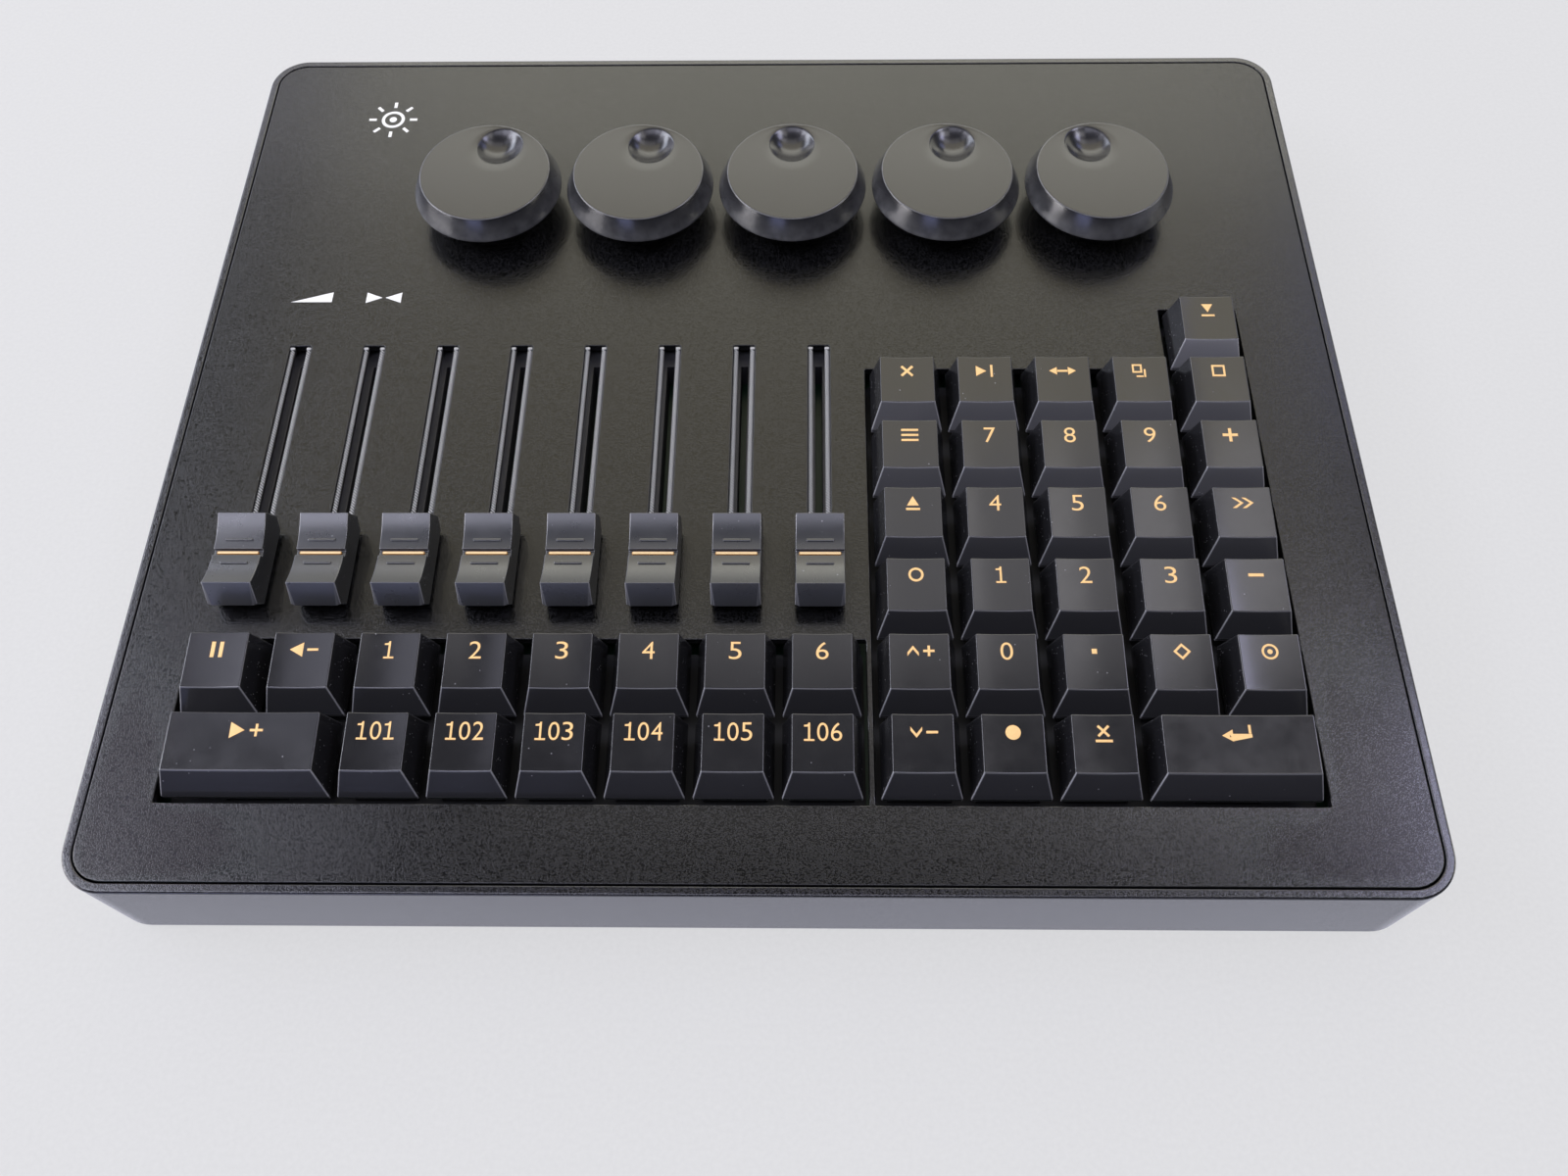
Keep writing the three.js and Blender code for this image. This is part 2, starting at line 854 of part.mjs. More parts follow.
const knobShape = knob();
knobIndexes.forEach((index) => {
  const mesh = named(`encoder_knob_${index + 1}`, knobShape, knobFinish);
  mesh.position.set(knobX(index), knobY, 0);
  mesh.rotation.z = THREE.MathUtils.degToRad(dimpleTurns[index]);
  controls.add(mesh);
});

export default controller;
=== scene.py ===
import math

import bmesh
import bpy
from mathutils import Matrix, Vector


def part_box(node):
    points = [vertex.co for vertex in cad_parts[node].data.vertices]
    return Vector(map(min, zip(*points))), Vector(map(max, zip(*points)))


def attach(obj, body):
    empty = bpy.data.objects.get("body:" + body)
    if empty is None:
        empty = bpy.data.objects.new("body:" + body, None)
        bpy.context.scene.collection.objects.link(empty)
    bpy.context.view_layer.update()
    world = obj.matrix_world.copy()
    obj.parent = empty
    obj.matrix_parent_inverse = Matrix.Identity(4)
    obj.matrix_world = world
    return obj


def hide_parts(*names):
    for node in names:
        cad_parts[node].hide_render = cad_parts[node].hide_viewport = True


# The desktop lighting controller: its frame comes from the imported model, and every piece that
# shows is made here in metres around it. X runs to the right, Y to the back and Z up.
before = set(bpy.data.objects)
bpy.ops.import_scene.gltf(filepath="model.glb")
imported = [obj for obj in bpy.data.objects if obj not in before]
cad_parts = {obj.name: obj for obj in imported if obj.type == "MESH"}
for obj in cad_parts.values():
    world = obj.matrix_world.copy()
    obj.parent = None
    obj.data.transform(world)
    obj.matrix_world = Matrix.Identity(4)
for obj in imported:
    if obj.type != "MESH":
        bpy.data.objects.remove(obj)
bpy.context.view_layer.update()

MM = 0.001
CASE_BODY = "case"

# Case and panel
CASE_LOW, CASE_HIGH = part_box("bottom_case")
PANEL_TOP = CASE_HIGH.z
CASE_BOTTOM = 1.5 * MM
CASE_CORNER = 10 * MM
CASE_WALL = 2.1 * MM
CASE_FLOOR = 2 * MM
CASE_ARC_STEPS = 14
OPENING_CORNER = 7.9 * MM
RIM_OUTER_EDGE = 0.55 * MM
RIM_INNER_EDGE = 0.25 * MM
CASE_LOWER_EDGE = 0.6 * MM
PANEL_GAP = 0.35 * MM
PANEL_THICKNESS = 2 * MM
PANEL_EDGE = 0.22 * MM
CUTOUT_CORNER = 0.4 * MM
CUTOUT_MARGIN = 0.45 * MM
PANEL_BOTTOM = PANEL_TOP - PANEL_THICKNESS
FLOOR_TOP = CASE_BOTTOM + CASE_FLOOR

# Key cells, as each keycap's skirt stands in its cell
KEY_PITCH = 19.05 * MM
CELL_SIDE = 0.82 * MM
CELL_FRONT = 1.1 * MM
CELL_BACK = 0.85 * MM

# Keycap, from its skirt's sides and the panel's top face
KEY_SIDE_SLOPE = 2.125 * MM
KEY_FRONT_SLOPE = 3.2 * MM
KEY_BACK_SLOPE = 1 * MM
KEY_FRONT_RISE = 7 * MM
KEY_BACK_RISE = 8 * MM
KEY_SHOULDER = 0.5 * MM
KEY_LIP = 1.5 * MM
KEY_DISH = 0.28 * MM
KEY_CORNER = 0.32 * MM
KEY_EDGE = 0.22 * MM
KEY_WALL = 1.3 * MM
KEY_ROOF = 1.5 * MM
KEY_SPLITS = 10
KEY_SUPPORT_SHARE = 1.3
KEY_SHOULDER_SHARE = 0.98
STEM_WIDTH = 4.4 * MM
STEM_BOTTOM = 6.9 * MM
STEM_CORNER = 0.5 * MM
STEM_EDGE = 0.2 * MM
STABILISER_REACH = 11.9 * MM
STABILISER_WIDTH = 7.4 * MM

# Key switches and boards, as drops from the panel's top face
SWITCH_WIDTH = 14 * MM
SWITCH_TOP_WIDTH = 10 * MM
SWITCH_TOP_DEPTH = 9.4 * MM
SWITCH_TOP = 0.4 * MM
SWITCH_BORE = 10.8 * MM
BORE_WIDTH = 5 * MM
HOUSING_CORNER = 0.4 * MM
KEY_PLATE_TOP = 7 * MM
KEY_PLATE_THICKNESS = 1.5 * MM
PLATE_EDGE = 0.1 * MM
PLATE_CORNER = 1 * MM
PLATE_HOLE_CORNER = 0.3 * MM
BOARD_TOP = 12 * MM
BOARD_THICKNESS = 1.6 * MM
BOARD_EDGE = 0.1 * MM
BOARD_CORNER = 2 * MM
BOARD_MARGIN = 7 * MM
BOARD_POST_INSET = 3 * MM
BOARD_POST_RADIUS = 2.4 * MM

# Marks on the keys and the panel
MARK_HEIGHT = 4.1 * MM
MARK_RIM = 0.09 * MM
MARK_THICKNESS = 0.03 * MM
MARK_SINK = 0.012 * MM
MARK_BACK_SHARE = 0.31
MARK_SIDES = 36
MARK_WELD = 1e-5
ICON_HEIGHT = 4.6 * MM
DIGIT_WIDTH_SHARE = 0.68
NARROW_DIGIT_SHARE = 0.59
DIGIT_PITCH_SHARE = 0.71
DIGIT_RIM_SHARE = 0.7
DIGIT_CURVE_STEPS = 6
SLOT_MARK_SIZE = 4.2 * MM
SLOT_MARK_GAP = 16 * MM
LAMP_MARK_SIZE = 6.6 * MM
LAMP_MARK_X = -107.5 * MM
LAMP_MARK_Y = 100 * MM

# Faders, as heights over the panel's top face where they rise
SLOT_WIDTH = 5.5 * MM
SLOT_LENGTH = 71.3 * MM
FADER_TRAVEL = 60 * MM
STRIP_WIDTH = 1.3 * MM
STRIP_DROP = 0.3 * MM
STRIP_DEPTH = 1.2 * MM
STRIP_PLAY = 0.4 * MM
STRIP_SIDE_GAP = 0.05 * MM
STRIP_EDGE = 0.2 * MM
TAB_FRONT = 0.9 * MM
TAB_BACK = 0.1 * MM
TAB_CORNER = 0.25 * MM
TAB_EDGE = 0.15 * MM
RIB_PITCH = 0.75 * MM
RIB_WIDTH = 0.42 * MM
RIB_HEIGHT = 0.3 * MM
RIB_SLANT = math.radians(-42)
RIB_SEGMENTS = 10
RIB_RINGS = 6
CAP_WIDTH = 11.5 * MM
CAP_DRAFT_SHARE = 0.03
CAP_LENGTH = 24.1 * MM
CAP_PEAK = 9.15 * MM
CAP_FOOT = 19.6 * MM
CAP_BOTTOM = 1 * MM
CAP_SHOULDER = 4.5 * MM
CAP_PEAK_RISE = 10.15 * MM
CAP_VALLEY_RISE = 8 * MM
CAP_FACET = Vector((0.7, 0.35)) * MM
CAP_EDGE = 0.22 * MM
CAP_WALL = 1.3 * MM
CAP_ROOF_EXTRA = 0.4 * MM
CAP_CORNER = 0.16 * MM
CAP_ARC_STEPS = 3
CAP_SPLITS = 10
CAP_FACET_REACH = 0.5 * MM
GROOVE_WIDTH = 1.6 * MM
GROOVE_DEPTH = 0.9 * MM
GROOVE_FLOOR = 0.5 * MM
INDEX_WIDTH = 0.8 * MM
INDEX_LENGTH = 9.6 * MM
INDEX_DROP = 0.4 * MM
INDEX_SINK = 0.1 * MM
INDEX_CORNER = 0.25 * MM
INDEX_ROUND = [(0, 0.09), (0.04, 0.02), (0.1, 0), (0.22, 0)]  # way in and drop, millimetres
GRIP_LENGTH = 6.3 * MM
GRIP_WIDTH = 0.6 * MM
GRIP_RISE = 0.34 * MM
GRIP_OFFSET = 3 * MM
GRIP_SINK = 0.4 * MM
GRIP_CORNER = 0.2 * MM
GRIP_EDGE = 0.12 * MM
HUB_WALL = 1.4 * MM
HUB_SIDE = 0.35 * MM
HUB_DROP = 0.2 * MM
HUB_CORNER = 0.3 * MM
HUB_EDGE = 0.1 * MM
LEVER_THICKNESS = 1.2 * MM
LEVER_WIDTH = 4 * MM
LEVER_BOTTOM = 8 * MM
LEVER_RISE = 1 * MM
LEVER_EDGE = 0.15 * MM
TRACK_WIDTH = 9 * MM
TRACK_END = 12 * MM
TRACK_TOP = 4.5 * MM
TRACK_SLIT = 1.8 * MM
TRACK_EDGE = 0.2 * MM
TRACK_CORNER = 0.5 * MM

# Knobs and encoders
KNOB_TOP_RADIUS = 17.2 * MM
KNOB_SKIRT_RADIUS = 19.65 * MM
KNOB_RISE = 13.1 * MM
KNOB_SKIRT_RISE = 7.3 * MM
KNOB_EDGE = 0.4 * MM
KNOB_EDGE_STEPS = 4
KNOB_SOFT = 0.15 * MM
KNOB_SIDES = 144
KNOB_SKIRT_EDGE = 0.6 * MM
KNOB_SKIRT_WALL = 1.7 * MM
KNOB_ROOF = 4 * MM
KNOB_HUB_RADIUS = 7 * MM
KNOB_HUB_RISE = 6.4 * MM
DIMPLE_RADIUS = 6.5 * MM
DIMPLE_DEPTH = 2.4 * MM
DIMPLE_LIP = 0.7 * MM
DIMPLE_WIDTH_SHARE = 0.92
DIMPLE_OFFSET = 9.75 * MM
DIMPLE_TURNS = [-18, -17, 1, -11, 17]
DIMPLE_STOPS = [
    0.05, 0.12, 0.2, 0.28, 0.36, 0.44, 0.52, 0.6, 0.67,
    0.74, 0.8, 0.85, 0.89, 0.92, 0.945, 0.965, 0.98, 1.0,
]
KNOB_FLAT_STOPS = [0.15, 0.4, 0.7, 1.0]
SHAFT_RADIUS = 3 * MM
SHAFT_BOTTOM = 5.6 * MM
BUSH_RADIUS = 4.5 * MM
BUSH_RISE = 4.4 * MM
THREAD_PITCH = 0.5 * MM
THREAD_DEPTH = 0.25 * MM
THREAD_LAND_SHARE = 0.1
THREAD_SIDES = 40
THREAD_WELD = 1e-7
NUT_RADIUS = 6.4 * MM
NUT_HEIGHT = 2 * MM
NUT_CHAMFER = 0.3 * MM
NUT_SIDES = 6
ENCODER_WIDTH = 13 * MM
ENCODER_HEIGHT = 6.9 * MM
ENCODER_CORNER = 0.8 * MM
ENCODER_EDGE = 0.3 * MM
ENCODER_BOARD_WIDTH = 22 * MM
ENCODER_BOARD_MARGIN = 12 * MM

# Feet, screws, posts and data socket
FOOT_RADIUS = 7 * MM
FOOT_INSET = 24 * MM
FOOT_EDGE = 0.5 * MM
FOOT_HOLLOW_DEPTH = 0.25 * MM
FOOT_HOLLOW_SLOPE = 0.3 * MM
FOOT_SIDES = 48
POST_INSET = 8.5 * MM
POST_RADIUS = 3.4 * MM
POST_GAP = 0.3 * MM
POST_SIDES = 24
PILOT_RADIUS = 1.25 * MM
SCREW_HOLE_RADIUS = 1.7 * MM
SCREW_RECESS_RADIUS = 3.1 * MM
SCREW_RECESS_DEPTH = 1.1 * MM
HOLE_SIDES = 32
SCREW_HEAD_RADIUS = 2.8 * MM
SCREW_HEAD_HEIGHT = 0.95 * MM
SCREW_HEAD_EDGE = 0.25 * MM
SCREW_SHANK_RADIUS = 1.2 * MM
SCREW_LENGTH = 8 * MM
SCREW_SIDES = 28
CROSS_WIDTH = 0.6 * MM
CROSS_LENGTH = 3 * MM
CROSS_DEPTH_SHARE = 0.6
CROSS_X_TAPER = 0.7
CROSS_Y_TAPER = 0.9
CROSS_CORNER = 0.1 * MM
CROSS_DEEP_CORNER = 0.08 * MM
SOCKET_X = 90 * MM
SOCKET_Z = (CASE_BOTTOM + PANEL_TOP) / 2
SOCKET_WIDTH = 9 * MM
SOCKET_HEIGHT = 3.3 * MM
SOCKET_DEPTH = 7.4 * MM
SOCKET_WALL = 0.35 * MM
SOCKET_CAVITY = 6.2 * MM
SOCKET_GAP = 0.3 * MM
TONGUE_WIDTH = 6.6 * MM
TONGUE_THICKNESS = 0.7 * MM
TONGUE_LENGTH = 4.5 * MM
TONGUE_CORNER = 0.3 * MM
TONGUE_EDGE = 0.1 * MM
CONTACT_COUNT = 10
CONTACT_WIDTH = 0.25 * MM
CONTACT_THICKNESS = 0.04 * MM
CONTACT_START = 0.8 * MM
CONTACT_END = 0.4 * MM
CONTACT_CORNER = 0.08 * MM
CONTACT_EDGE = 0.01 * MM
SOCKET_BOARD = Vector((24, 16)) * MM
SOCKET_BOARD_CORNER = 1 * MM
SOCKET_POST_INSET = 3.5 * MM
SOCKET_POST_RADIUS = 2.5 * MM

# View: the camera's place comes from a fit to the photograph's key grid and outline
CAMERA_PLACE = Vector((10.73, -196.89, 296.64)) * MM
CAMERA_TURN = [math.radians(angle) for angle in (28.2966, 0.7581, 0.4988)]
CAMERA_LENS = 30.318
CAMERA_SENSOR = 36
CAMERA_NEAR = 0.01
CEILING = 1.0
AMBIENT = 0.06
TABLE_SIDE = 8
TABLE_CORNER = 2
TABLE_ARC_STEPS = 12
TABLE_THICKNESS = 0.02
TABLE_PLAIN_SHARE = 0.88

# Shading, the points that keep flat sides flat, and how far a cutter reaches past a piece
SHARP_ANGLE = math.radians(34)
# Edges that turn more than this get the painted edge highlight
HIGHLIGHT_EDGE_ANGLE = math.radians(10)
SUPPORT = 0.06 * MM
OVERRUN = 1 * MM
SHEET_ARC_STEPS = 8


# Node trees

class Wire:
    """A socket of a node tree. Python's operators on it, and on numbers, add Math nodes."""

    def __init__(self, graph, socket):
        self.graph = graph
        self.socket = socket

    def maths(self, operation, *values):
        return self.graph.add("ShaderNodeMath", {"operation": operation}, dict(enumerate(values)))

    def __add__(self, other):
        return self.maths("ADD", self, other)

    def __sub__(self, other):
        return self.maths("SUBTRACT", self, other)

    def __rsub__(self, other):
        return self.maths("SUBTRACT", other, self)

    def __mul__(self, other):
        return self.maths("MULTIPLY", self, other)

    def __truediv__(self, other):
        return self.maths("DIVIDE", self, other)

    __radd__ = __add__
    __rmul__ = __mul__


class Graph:
    """A node tree being wired up."""

    def __init__(self, tree):
        self.tree = tree
        self.tree.nodes.clear()

    def add(self, kind, settings=None, sockets=None, output=0):
        """Adds a node, sets what it is told, feeds its sockets and returns one output."""
        node = self.tree.nodes.new(kind)
        for key, value in (settings or {}).items():
            setattr(node, key, value)
        for key, value in (sockets or {}).items():
            if isinstance(value, Wire):
                self.tree.links.new(value.socket, node.inputs[key])
            else:
                node.inputs[key].default_value = value
        return Wire(self, node.outputs[output]) if node.outputs else None


class Finish(Graph):
    """A material being wired up. Scales are in features per metre."""

    def __init__(self, name):
        self.material = bpy.data.materials.new(name)
        self.material.use_nodes = True
        super().__init__(self.material.node_tree)

    def place(self):
        return self.add("ShaderNodeTexCoord", output="Object")

    def noise(self, scale, detail=2.0, roughness=0.5):
        sockets = {"Scale": scale, "Detail": detail, "Roughness": roughness}
        return self.add("ShaderNodeTexNoise", sockets={"Vector": self.place(), **sockets})

    def specks(self, scale, size):
        """One where a random point of a cell grid is nearer than size, in cells, or else zero."""
        sockets = {"Vector": self.place(), "Scale": scale}
        distance = self.add("ShaderNodeTexVoronoi", sockets=sockets)
        return self.step(distance, size, size / 2)

    def edges(self):
        """One on the rounded outer edges of a piece and zero on its faces."""
        return self.add("ShaderNodeAttribute", {"attribute_name": "edge"}, output="Fac")

    def component(self, vector, axis):
        return self.add("ShaderNodeSeparateXYZ", sockets={"Vector": vector}, output=axis)

    def facing(self, axis):
        """How far a face looks along an axis, from minus one to one."""
        return self.component(self.add("ShaderNodeNewGeometry", output="Normal"), axis)

    def depth(self):
        """How far back a point lies, in metres from the object's middle."""
        return self.component(self.place(), "Y")

    def front_dust_and_sheen(self, base):
        """A base colour under a pale film on front sides, thicker to the back: dust and painted
        sheen.
        """
        depth = self.depth()
        share = 0.05 + 0.25 * self.step(depth, -0.06, -0.01) + 0.55 * self.step(depth, 0.0, 0.03)
        dust = share * self.step(self.facing("Y"), -0.3, -0.8)
        return self.blend(dust, base, tint(0.42, 0.42, 0.45))

    def step(self, value, low, high):
        """Smooth step of a value, from 0 at low to 1 at high."""
        sockets = {"Value": value, "From Min": low, "From Max": high}
        return self.add("ShaderNodeMapRange", {"interpolation_type": "SMOOTHSTEP"}, sockets)

    def blend(self, factor, first, second):
        """Mixes two colours."""
        sockets = {0: factor, 6: first, 7: second}
        return self.add("ShaderNodeMix", {"data_type": "RGBA"}, sockets, output=2)

    def bump(self, height, distance):
        sockets = {"Height": height, "Distance": distance}
        return self.add("ShaderNodeBump", sockets=sockets)

    def surface(self, **values):
        """Ends the material, with underscores for spaces in the shader's socket names."""
        sockets = {key.replace("_", " "): value for key, value in values.items()}
        return self.output(self.add("ShaderNodeBsdfPrincipled", sockets=sockets))

    def output(self, shader):
        self.add("ShaderNodeOutputMaterial", sockets={"Surface": shader})
        return self.material


def tint(red, green, blue):
    return (red, green, blue, 1.0)


# Finishes

def sanded_coat(name, ground, grit, grit_height, roughness, gloss, glint):
    """Powder coat with a fine sand texture: pale grit stands in its dark ground.

    The grit glints most at the front, where hands keep it clean; edges get a faint painted highlight."""
    finish = Finish(name)
    cloud = finish.noise(35, 3.0)
    raised = finish.step(finish.noise(3200, 1.0), 0.42, 0.62)
    base = finish.blend(raised, tint(*ground), tint(*grit))
    # Painted highlight: a faint pale line on the rounded edges.
    base = finish.blend(finish.edges() * 0.03, base, tint(0.2, 0.2, 0.21))
    clean = 0.05 + glint * finish.step(finish.depth(), -0.02, -0.09)
    return finish.surface(
        Base_Color=base,
        Roughness=roughness + 0.06 * cloud - 0.03,
        Normal=finish.bump(raised, grit_height),
        Specular_IOR_Level=gloss,
        Coat_Weight=clean * raised,
        Coat_Roughness=roughness,
    )


def moulded_plastic(name, colour, roughness, gloss, dust):
    """Fine spark-eroded plastic: fingers' faint smears in its gloss, dust specks and painted edge
    highlights.

    Lint hangs on its side faces. The painted edge highlight is palest at the front corners."""
    finish = Finish(name)
    smears = finish.noise(180, 4.0, 0.6)
    sideways = finish.facing("X") * finish.facing("X")
    ahead = finish.facing("Y")
    specks = finish.specks(420, 0.09) * finish.step(finish.noise(160), 0.52, 0.6) * dust
    lint = finish.specks(1300, 0.2) * finish.step(finish.noise(420), 0.5, 0.62)
    base = finish.blend(specks, tint(*colour), tint(0.3, 0.3, 0.32))
    base = finish.blend(lint * finish.step(sideways, 0.3, 0.7) * dust, base, tint(0.4, 0.4, 0.42))
    # Painted highlight: pale rounded edges, strongest at the front corners and faint along the front
    # edges.
    corner = finish.step(sideways, 0.02, 0.12) * finish.step(ahead, -0.15, -0.5)
    edge_highlight = finish.edges() * (0.05 + 0.15 * finish.step(ahead, -0.1, -0.3) + 0.5 * corner)
    base = finish.blend(edge_highlight, base, tint(0.35, 0.35, 0.37))
    return finish.surface(
        # Front-facing sides get a pale film: partly dust, partly painted sheen.
        Base_Color=finish.front_dust_and_sheen(base),
        Roughness=roughness + 0.14 * smears - 0.07 + specks * 0.3,
        Normal=finish.bump(finish.noise(5200, 1.0), 0.004 * MM),
        Specular_IOR_Level=gloss,
    )


def knob_finish():
    """Satin black with a very fine, even grain, and an uneven painted highlight along its edges."""
    finish = Finish("satin_knob")
    cloud = finish.noise(90, 3.0)
    base = finish.blend(cloud, tint(0.012, 0.012, 0.014), tint(0.017, 0.017, 0.019))
    # Painted highlight: the rounded edges are lightened, unevenly.
    base = finish.blend(finish.edges() * finish.noise(300) * 0.7, base, tint(0.2, 0.2, 0.2))
    return finish.surface(
        Base_Color=base,
        Roughness=0.2 + 0.04 * cloud,
        Normal=finish.bump(finish.noise(4200, 1.0), 0.003 * MM),
        Specular_IOR_Level=0.66,
    )


def mark_finish(name, first, second, edge):
    """Laser-cut legend or painted line: a pale core that turns orange at its rim."""
    finish = Finish(name)
    rim = finish.add("ShaderNodeAttribute", {"attribute_name": "rim"}, output="Fac")
    grain = finish.noise(3000, 1.0)
    core = finish.blend(grain, tint(*first), tint(*second))
    base = finish.blend(finish.step(rim, 0.25, 0.9), core, tint(*edge))
    return finish.surface(Base_Color=base, Roughness=0.6)


def plain_finish(name, first, second, scale, roughness, metallic=0.0, depth=0.0):
    """A colour that wanders between two, with a bump where it is given a depth."""
    finish = Finish(name)
    noise = finish.noise(scale, 3.0)
    values = {"Base_Color": finish.blend(noise, tint(*first), tint(*second)), "Metallic": metallic}
    if depth:
        values["Normal"] = finish.bump(noise, depth)
    return finish.surface(Roughness=roughness + 0.1 * noise, **values)


PANEL_COAT = sanded_coat(
    "panel_powder_coat",
    ground=(0.0006, 0.0006, 0.0006),
    grit=(0.013, 0.013, 0.014),
    grit_height=0.016 * MM,
    roughness=0.17,
    gloss=0.47,
    glint=0.4,
)
CASE_COAT = sanded_coat(
    "case_powder_coat",
    ground=(0.001, 0.001, 0.0018),
    grit=(0.015, 0.015, 0.021),
    grit_height=0.014 * MM,
    roughness=0.15,
    gloss=0.74,
    glint=0.1,
)
KEY_PLASTIC = moulded_plastic("keycap_plastic", (0.013, 0.013, 0.0145), 0.17, 0.8, 0.5)
CAP_PLASTIC = moulded_plastic("fader_cap_plastic", (0.02, 0.0215, 0.025), 0.29, 1.0, 0.8)
KNOB_SATIN = knob_finish()
LEGEND = mark_finish("amber_legend", (0.80, 0.50, 0.18), (0.92, 0.62, 0.28), (0.62, 0.26, 0.05))
INDEX_CREAM = mark_finish("cream_index", (0.72, 0.54, 0.27), (0.8, 0.62, 0.34), (0.42, 0.2, 0.05))
PANEL_PRINT = plain_finish("white_print", (0.7, 0.7, 0.68), (0.82, 0.82, 0.8), 1500, 0.5)
STRIP_GREY = plain_finish("grey_strip", (0.28, 0.28, 0.28), (0.42, 0.42, 0.41), 1400, 0.4)
TRACK_GREY = plain_finish("grey_track", (0.05, 0.05, 0.055), (0.08, 0.08, 0.085), 500, 0.5)
STRIP_BASE = plain_finish("strip_base", (0.008, 0.008, 0.009), (0.014, 0.014, 0.015), 900, 0.6)
SOFT_BLACK = ((0.012, 0.012, 0.012), (0.02, 0.02, 0.02))
RUBBER = plain_finish("black_rubber", *SOFT_BLACK, 1200, 0.75, depth=0.02 * MM)
STEEL = plain_finish("black_steel", (0.004, 0.004, 0.0045), (0.01, 0.01, 0.011), 700, 0.6)
NICKEL = plain_finish("bright_nickel", (0.55, 0.53, 0.5), (0.65, 0.63, 0.6), 600, 0.25, 1.0)
GOLD = plain_finish("gold_contacts", (0.75, 0.5, 0.16), (0.85, 0.6, 0.22), 900, 0.25, 1.0)
BOARD_LACQUER = plain_finish("board_lacquer", (0.006, 0.03, 0.012), (0.01, 0.045, 0.018), 400, 0.35)
SWITCH_PLASTIC = plain_finish("switch_plastic", *SOFT_BLACK, 800, 0.5)


# Outlines and lofts

def rectangle(low_x, high_x, low_y, high_y):
    corners = [(low_x, low_y), (high_x, low_y), (high_x, high_y), (low_x, high_y)]
    return [Vector(corner) for corner in corners]


def centred(width, depth, x=0.0, y=0.0):
    return rectangle(x - width / 2, x + width / 2, y - depth / 2, y + depth / 2)


def rounded(corners, radius, offset=0.0, steps=4, support=SUPPORT, splits=None):
    """An anticlockwise polygon with round corners, moved outwards by offset, as flat points.

    Each arc has one more point a little way along both of its sides, so that flat sides shade flat.
    splits gives how many stretches each side has, from the first corner's."""
    groups = []
    for index, corner in enumerate(corners):
        before = (corner - corners[index - 1]).normalized()
        after = (corners[(index + 1) % len(corners)] - corner).normalized()
        out_before = Vector((before.y, -before.x))
        out_after = Vector((after.y, -after.x))
        turn = math.atan2(before.cross(after), before.dot(after))
        side = math.copysign(1, turn)
        arc_radius = max(radius + side * offset, SUPPORT)
        moved = corner + (out_before + out_after) * (offset / (1 + out_before.dot(out_after)))
        reach = arc_radius * math.tan(abs(turn) / 2)
        start = moved - before * reach
        middle = start - out_before * side * arc_radius
        spoke = start - middle
        arc = [middle + Matrix.Rotation(turn * k / steps, 2) @ spoke for k in range(steps + 1)]
        groups.append([arc[0] - before * support, *arc, arc[-1] + after * support])
    points = []
    for index, group in enumerate(groups):
        points += group
        following = groups[(index + 1) % len(groups)][0]
        count = splits[index] if splits else 1
        points += [group[-1].lerp(following, k / count) for k in range(1, count)]
    return points


def at_height(points, height):
    return [Vector((point.x, point.y, height)) for point in points]


def circle(radius, sides, height=0.0, x=0.0, y=0.0):
    turns = [2 * math.pi * k / sides for k in range(sides)]
    spokes = [(radius * math.cos(turn), radius * math.sin(turn)) for turn in turns]
    return [Vector((x + across, y + back, height)) for across, back in spokes]


def fillet(radius, steps=3):
    """A quarter round as (way in from the side, drop from the top), from the side to the top."""
    turns = [math.pi / 2 * k / steps for k in range(steps + 1)]
    return [(radius * (1 - math.cos(turn)), radius * (1 - math.sin(turn))) for turn in turns]


def loft(bm, rings, cap_first=True, cap_last=True):
    """Joins rings of as many points each into one skin, and returns its rows of vertices."""
    rows = [[bm.verts.new(point) for point in ring] for ring in rings]
    for low, high in zip(rows, rows[1:]):
        for index in range(len(low)):
            after = (index + 1) % len(low)
            bm.faces.new((low[index], low[after], high[after], high[index]))
    if cap_first:
        bm.faces.new(list(reversed(rows[0])))
    if cap_last:
        bm.faces.new(rows[-1])
    return rows


def row_edges(bm, row):
    return [bm.edges.get((row[index], row[index - 1])) for index in range(len(row))]


def mesh_of(bm, name="shape"):
    bmesh.ops.recalc_face_normals(bm, faces=bm.faces)
    mesh = bpy.data.meshes.new(name)
    bm.to_mesh(mesh)
    bm.free()
    return mesh


def block(bm, low, high, corner, edge, steps=3):
    """A block with round upright corners and round upper and lower edges."""
    base = rectangle(low.x, high.x, low.y, high.y)
    quarter = fillet(edge, steps)
    rings = [(-inset, low.z + drop) for inset, drop in reversed(quarter)]
    rings += [(0, low.z + edge + SUPPORT), (0, high.z - edge - SUPPORT)]
    rings += [(-inset, high.z - drop) for inset, drop in quarter]
    rings = [(rings[0][0] - SUPPORT, low.z), *rings, (rings[-1][0] - SUPPORT, high.z)]
    loft(bm, [at_height(rounded(base, corner, offset), z) for offset, z in rings])


def drum(bm, profile, sides, x=0.0, y=0.0):
    """A turned piece from (radius, height) pairs, closed at both ends by flat faces."""
    loft(bm, [circle(radius, sides, height, x, y) for radius, height in profile])


def drum_shape(profile, sides):
    bm = bmesh.new()
    drum(bm, profile, sides)
    return mesh_of(bm)


def block_shape(low, high, corner, edge, steps=3):
    bm = bmesh.new()
    block(bm, low, high, corner, edge, steps)
    return mesh_of(bm)


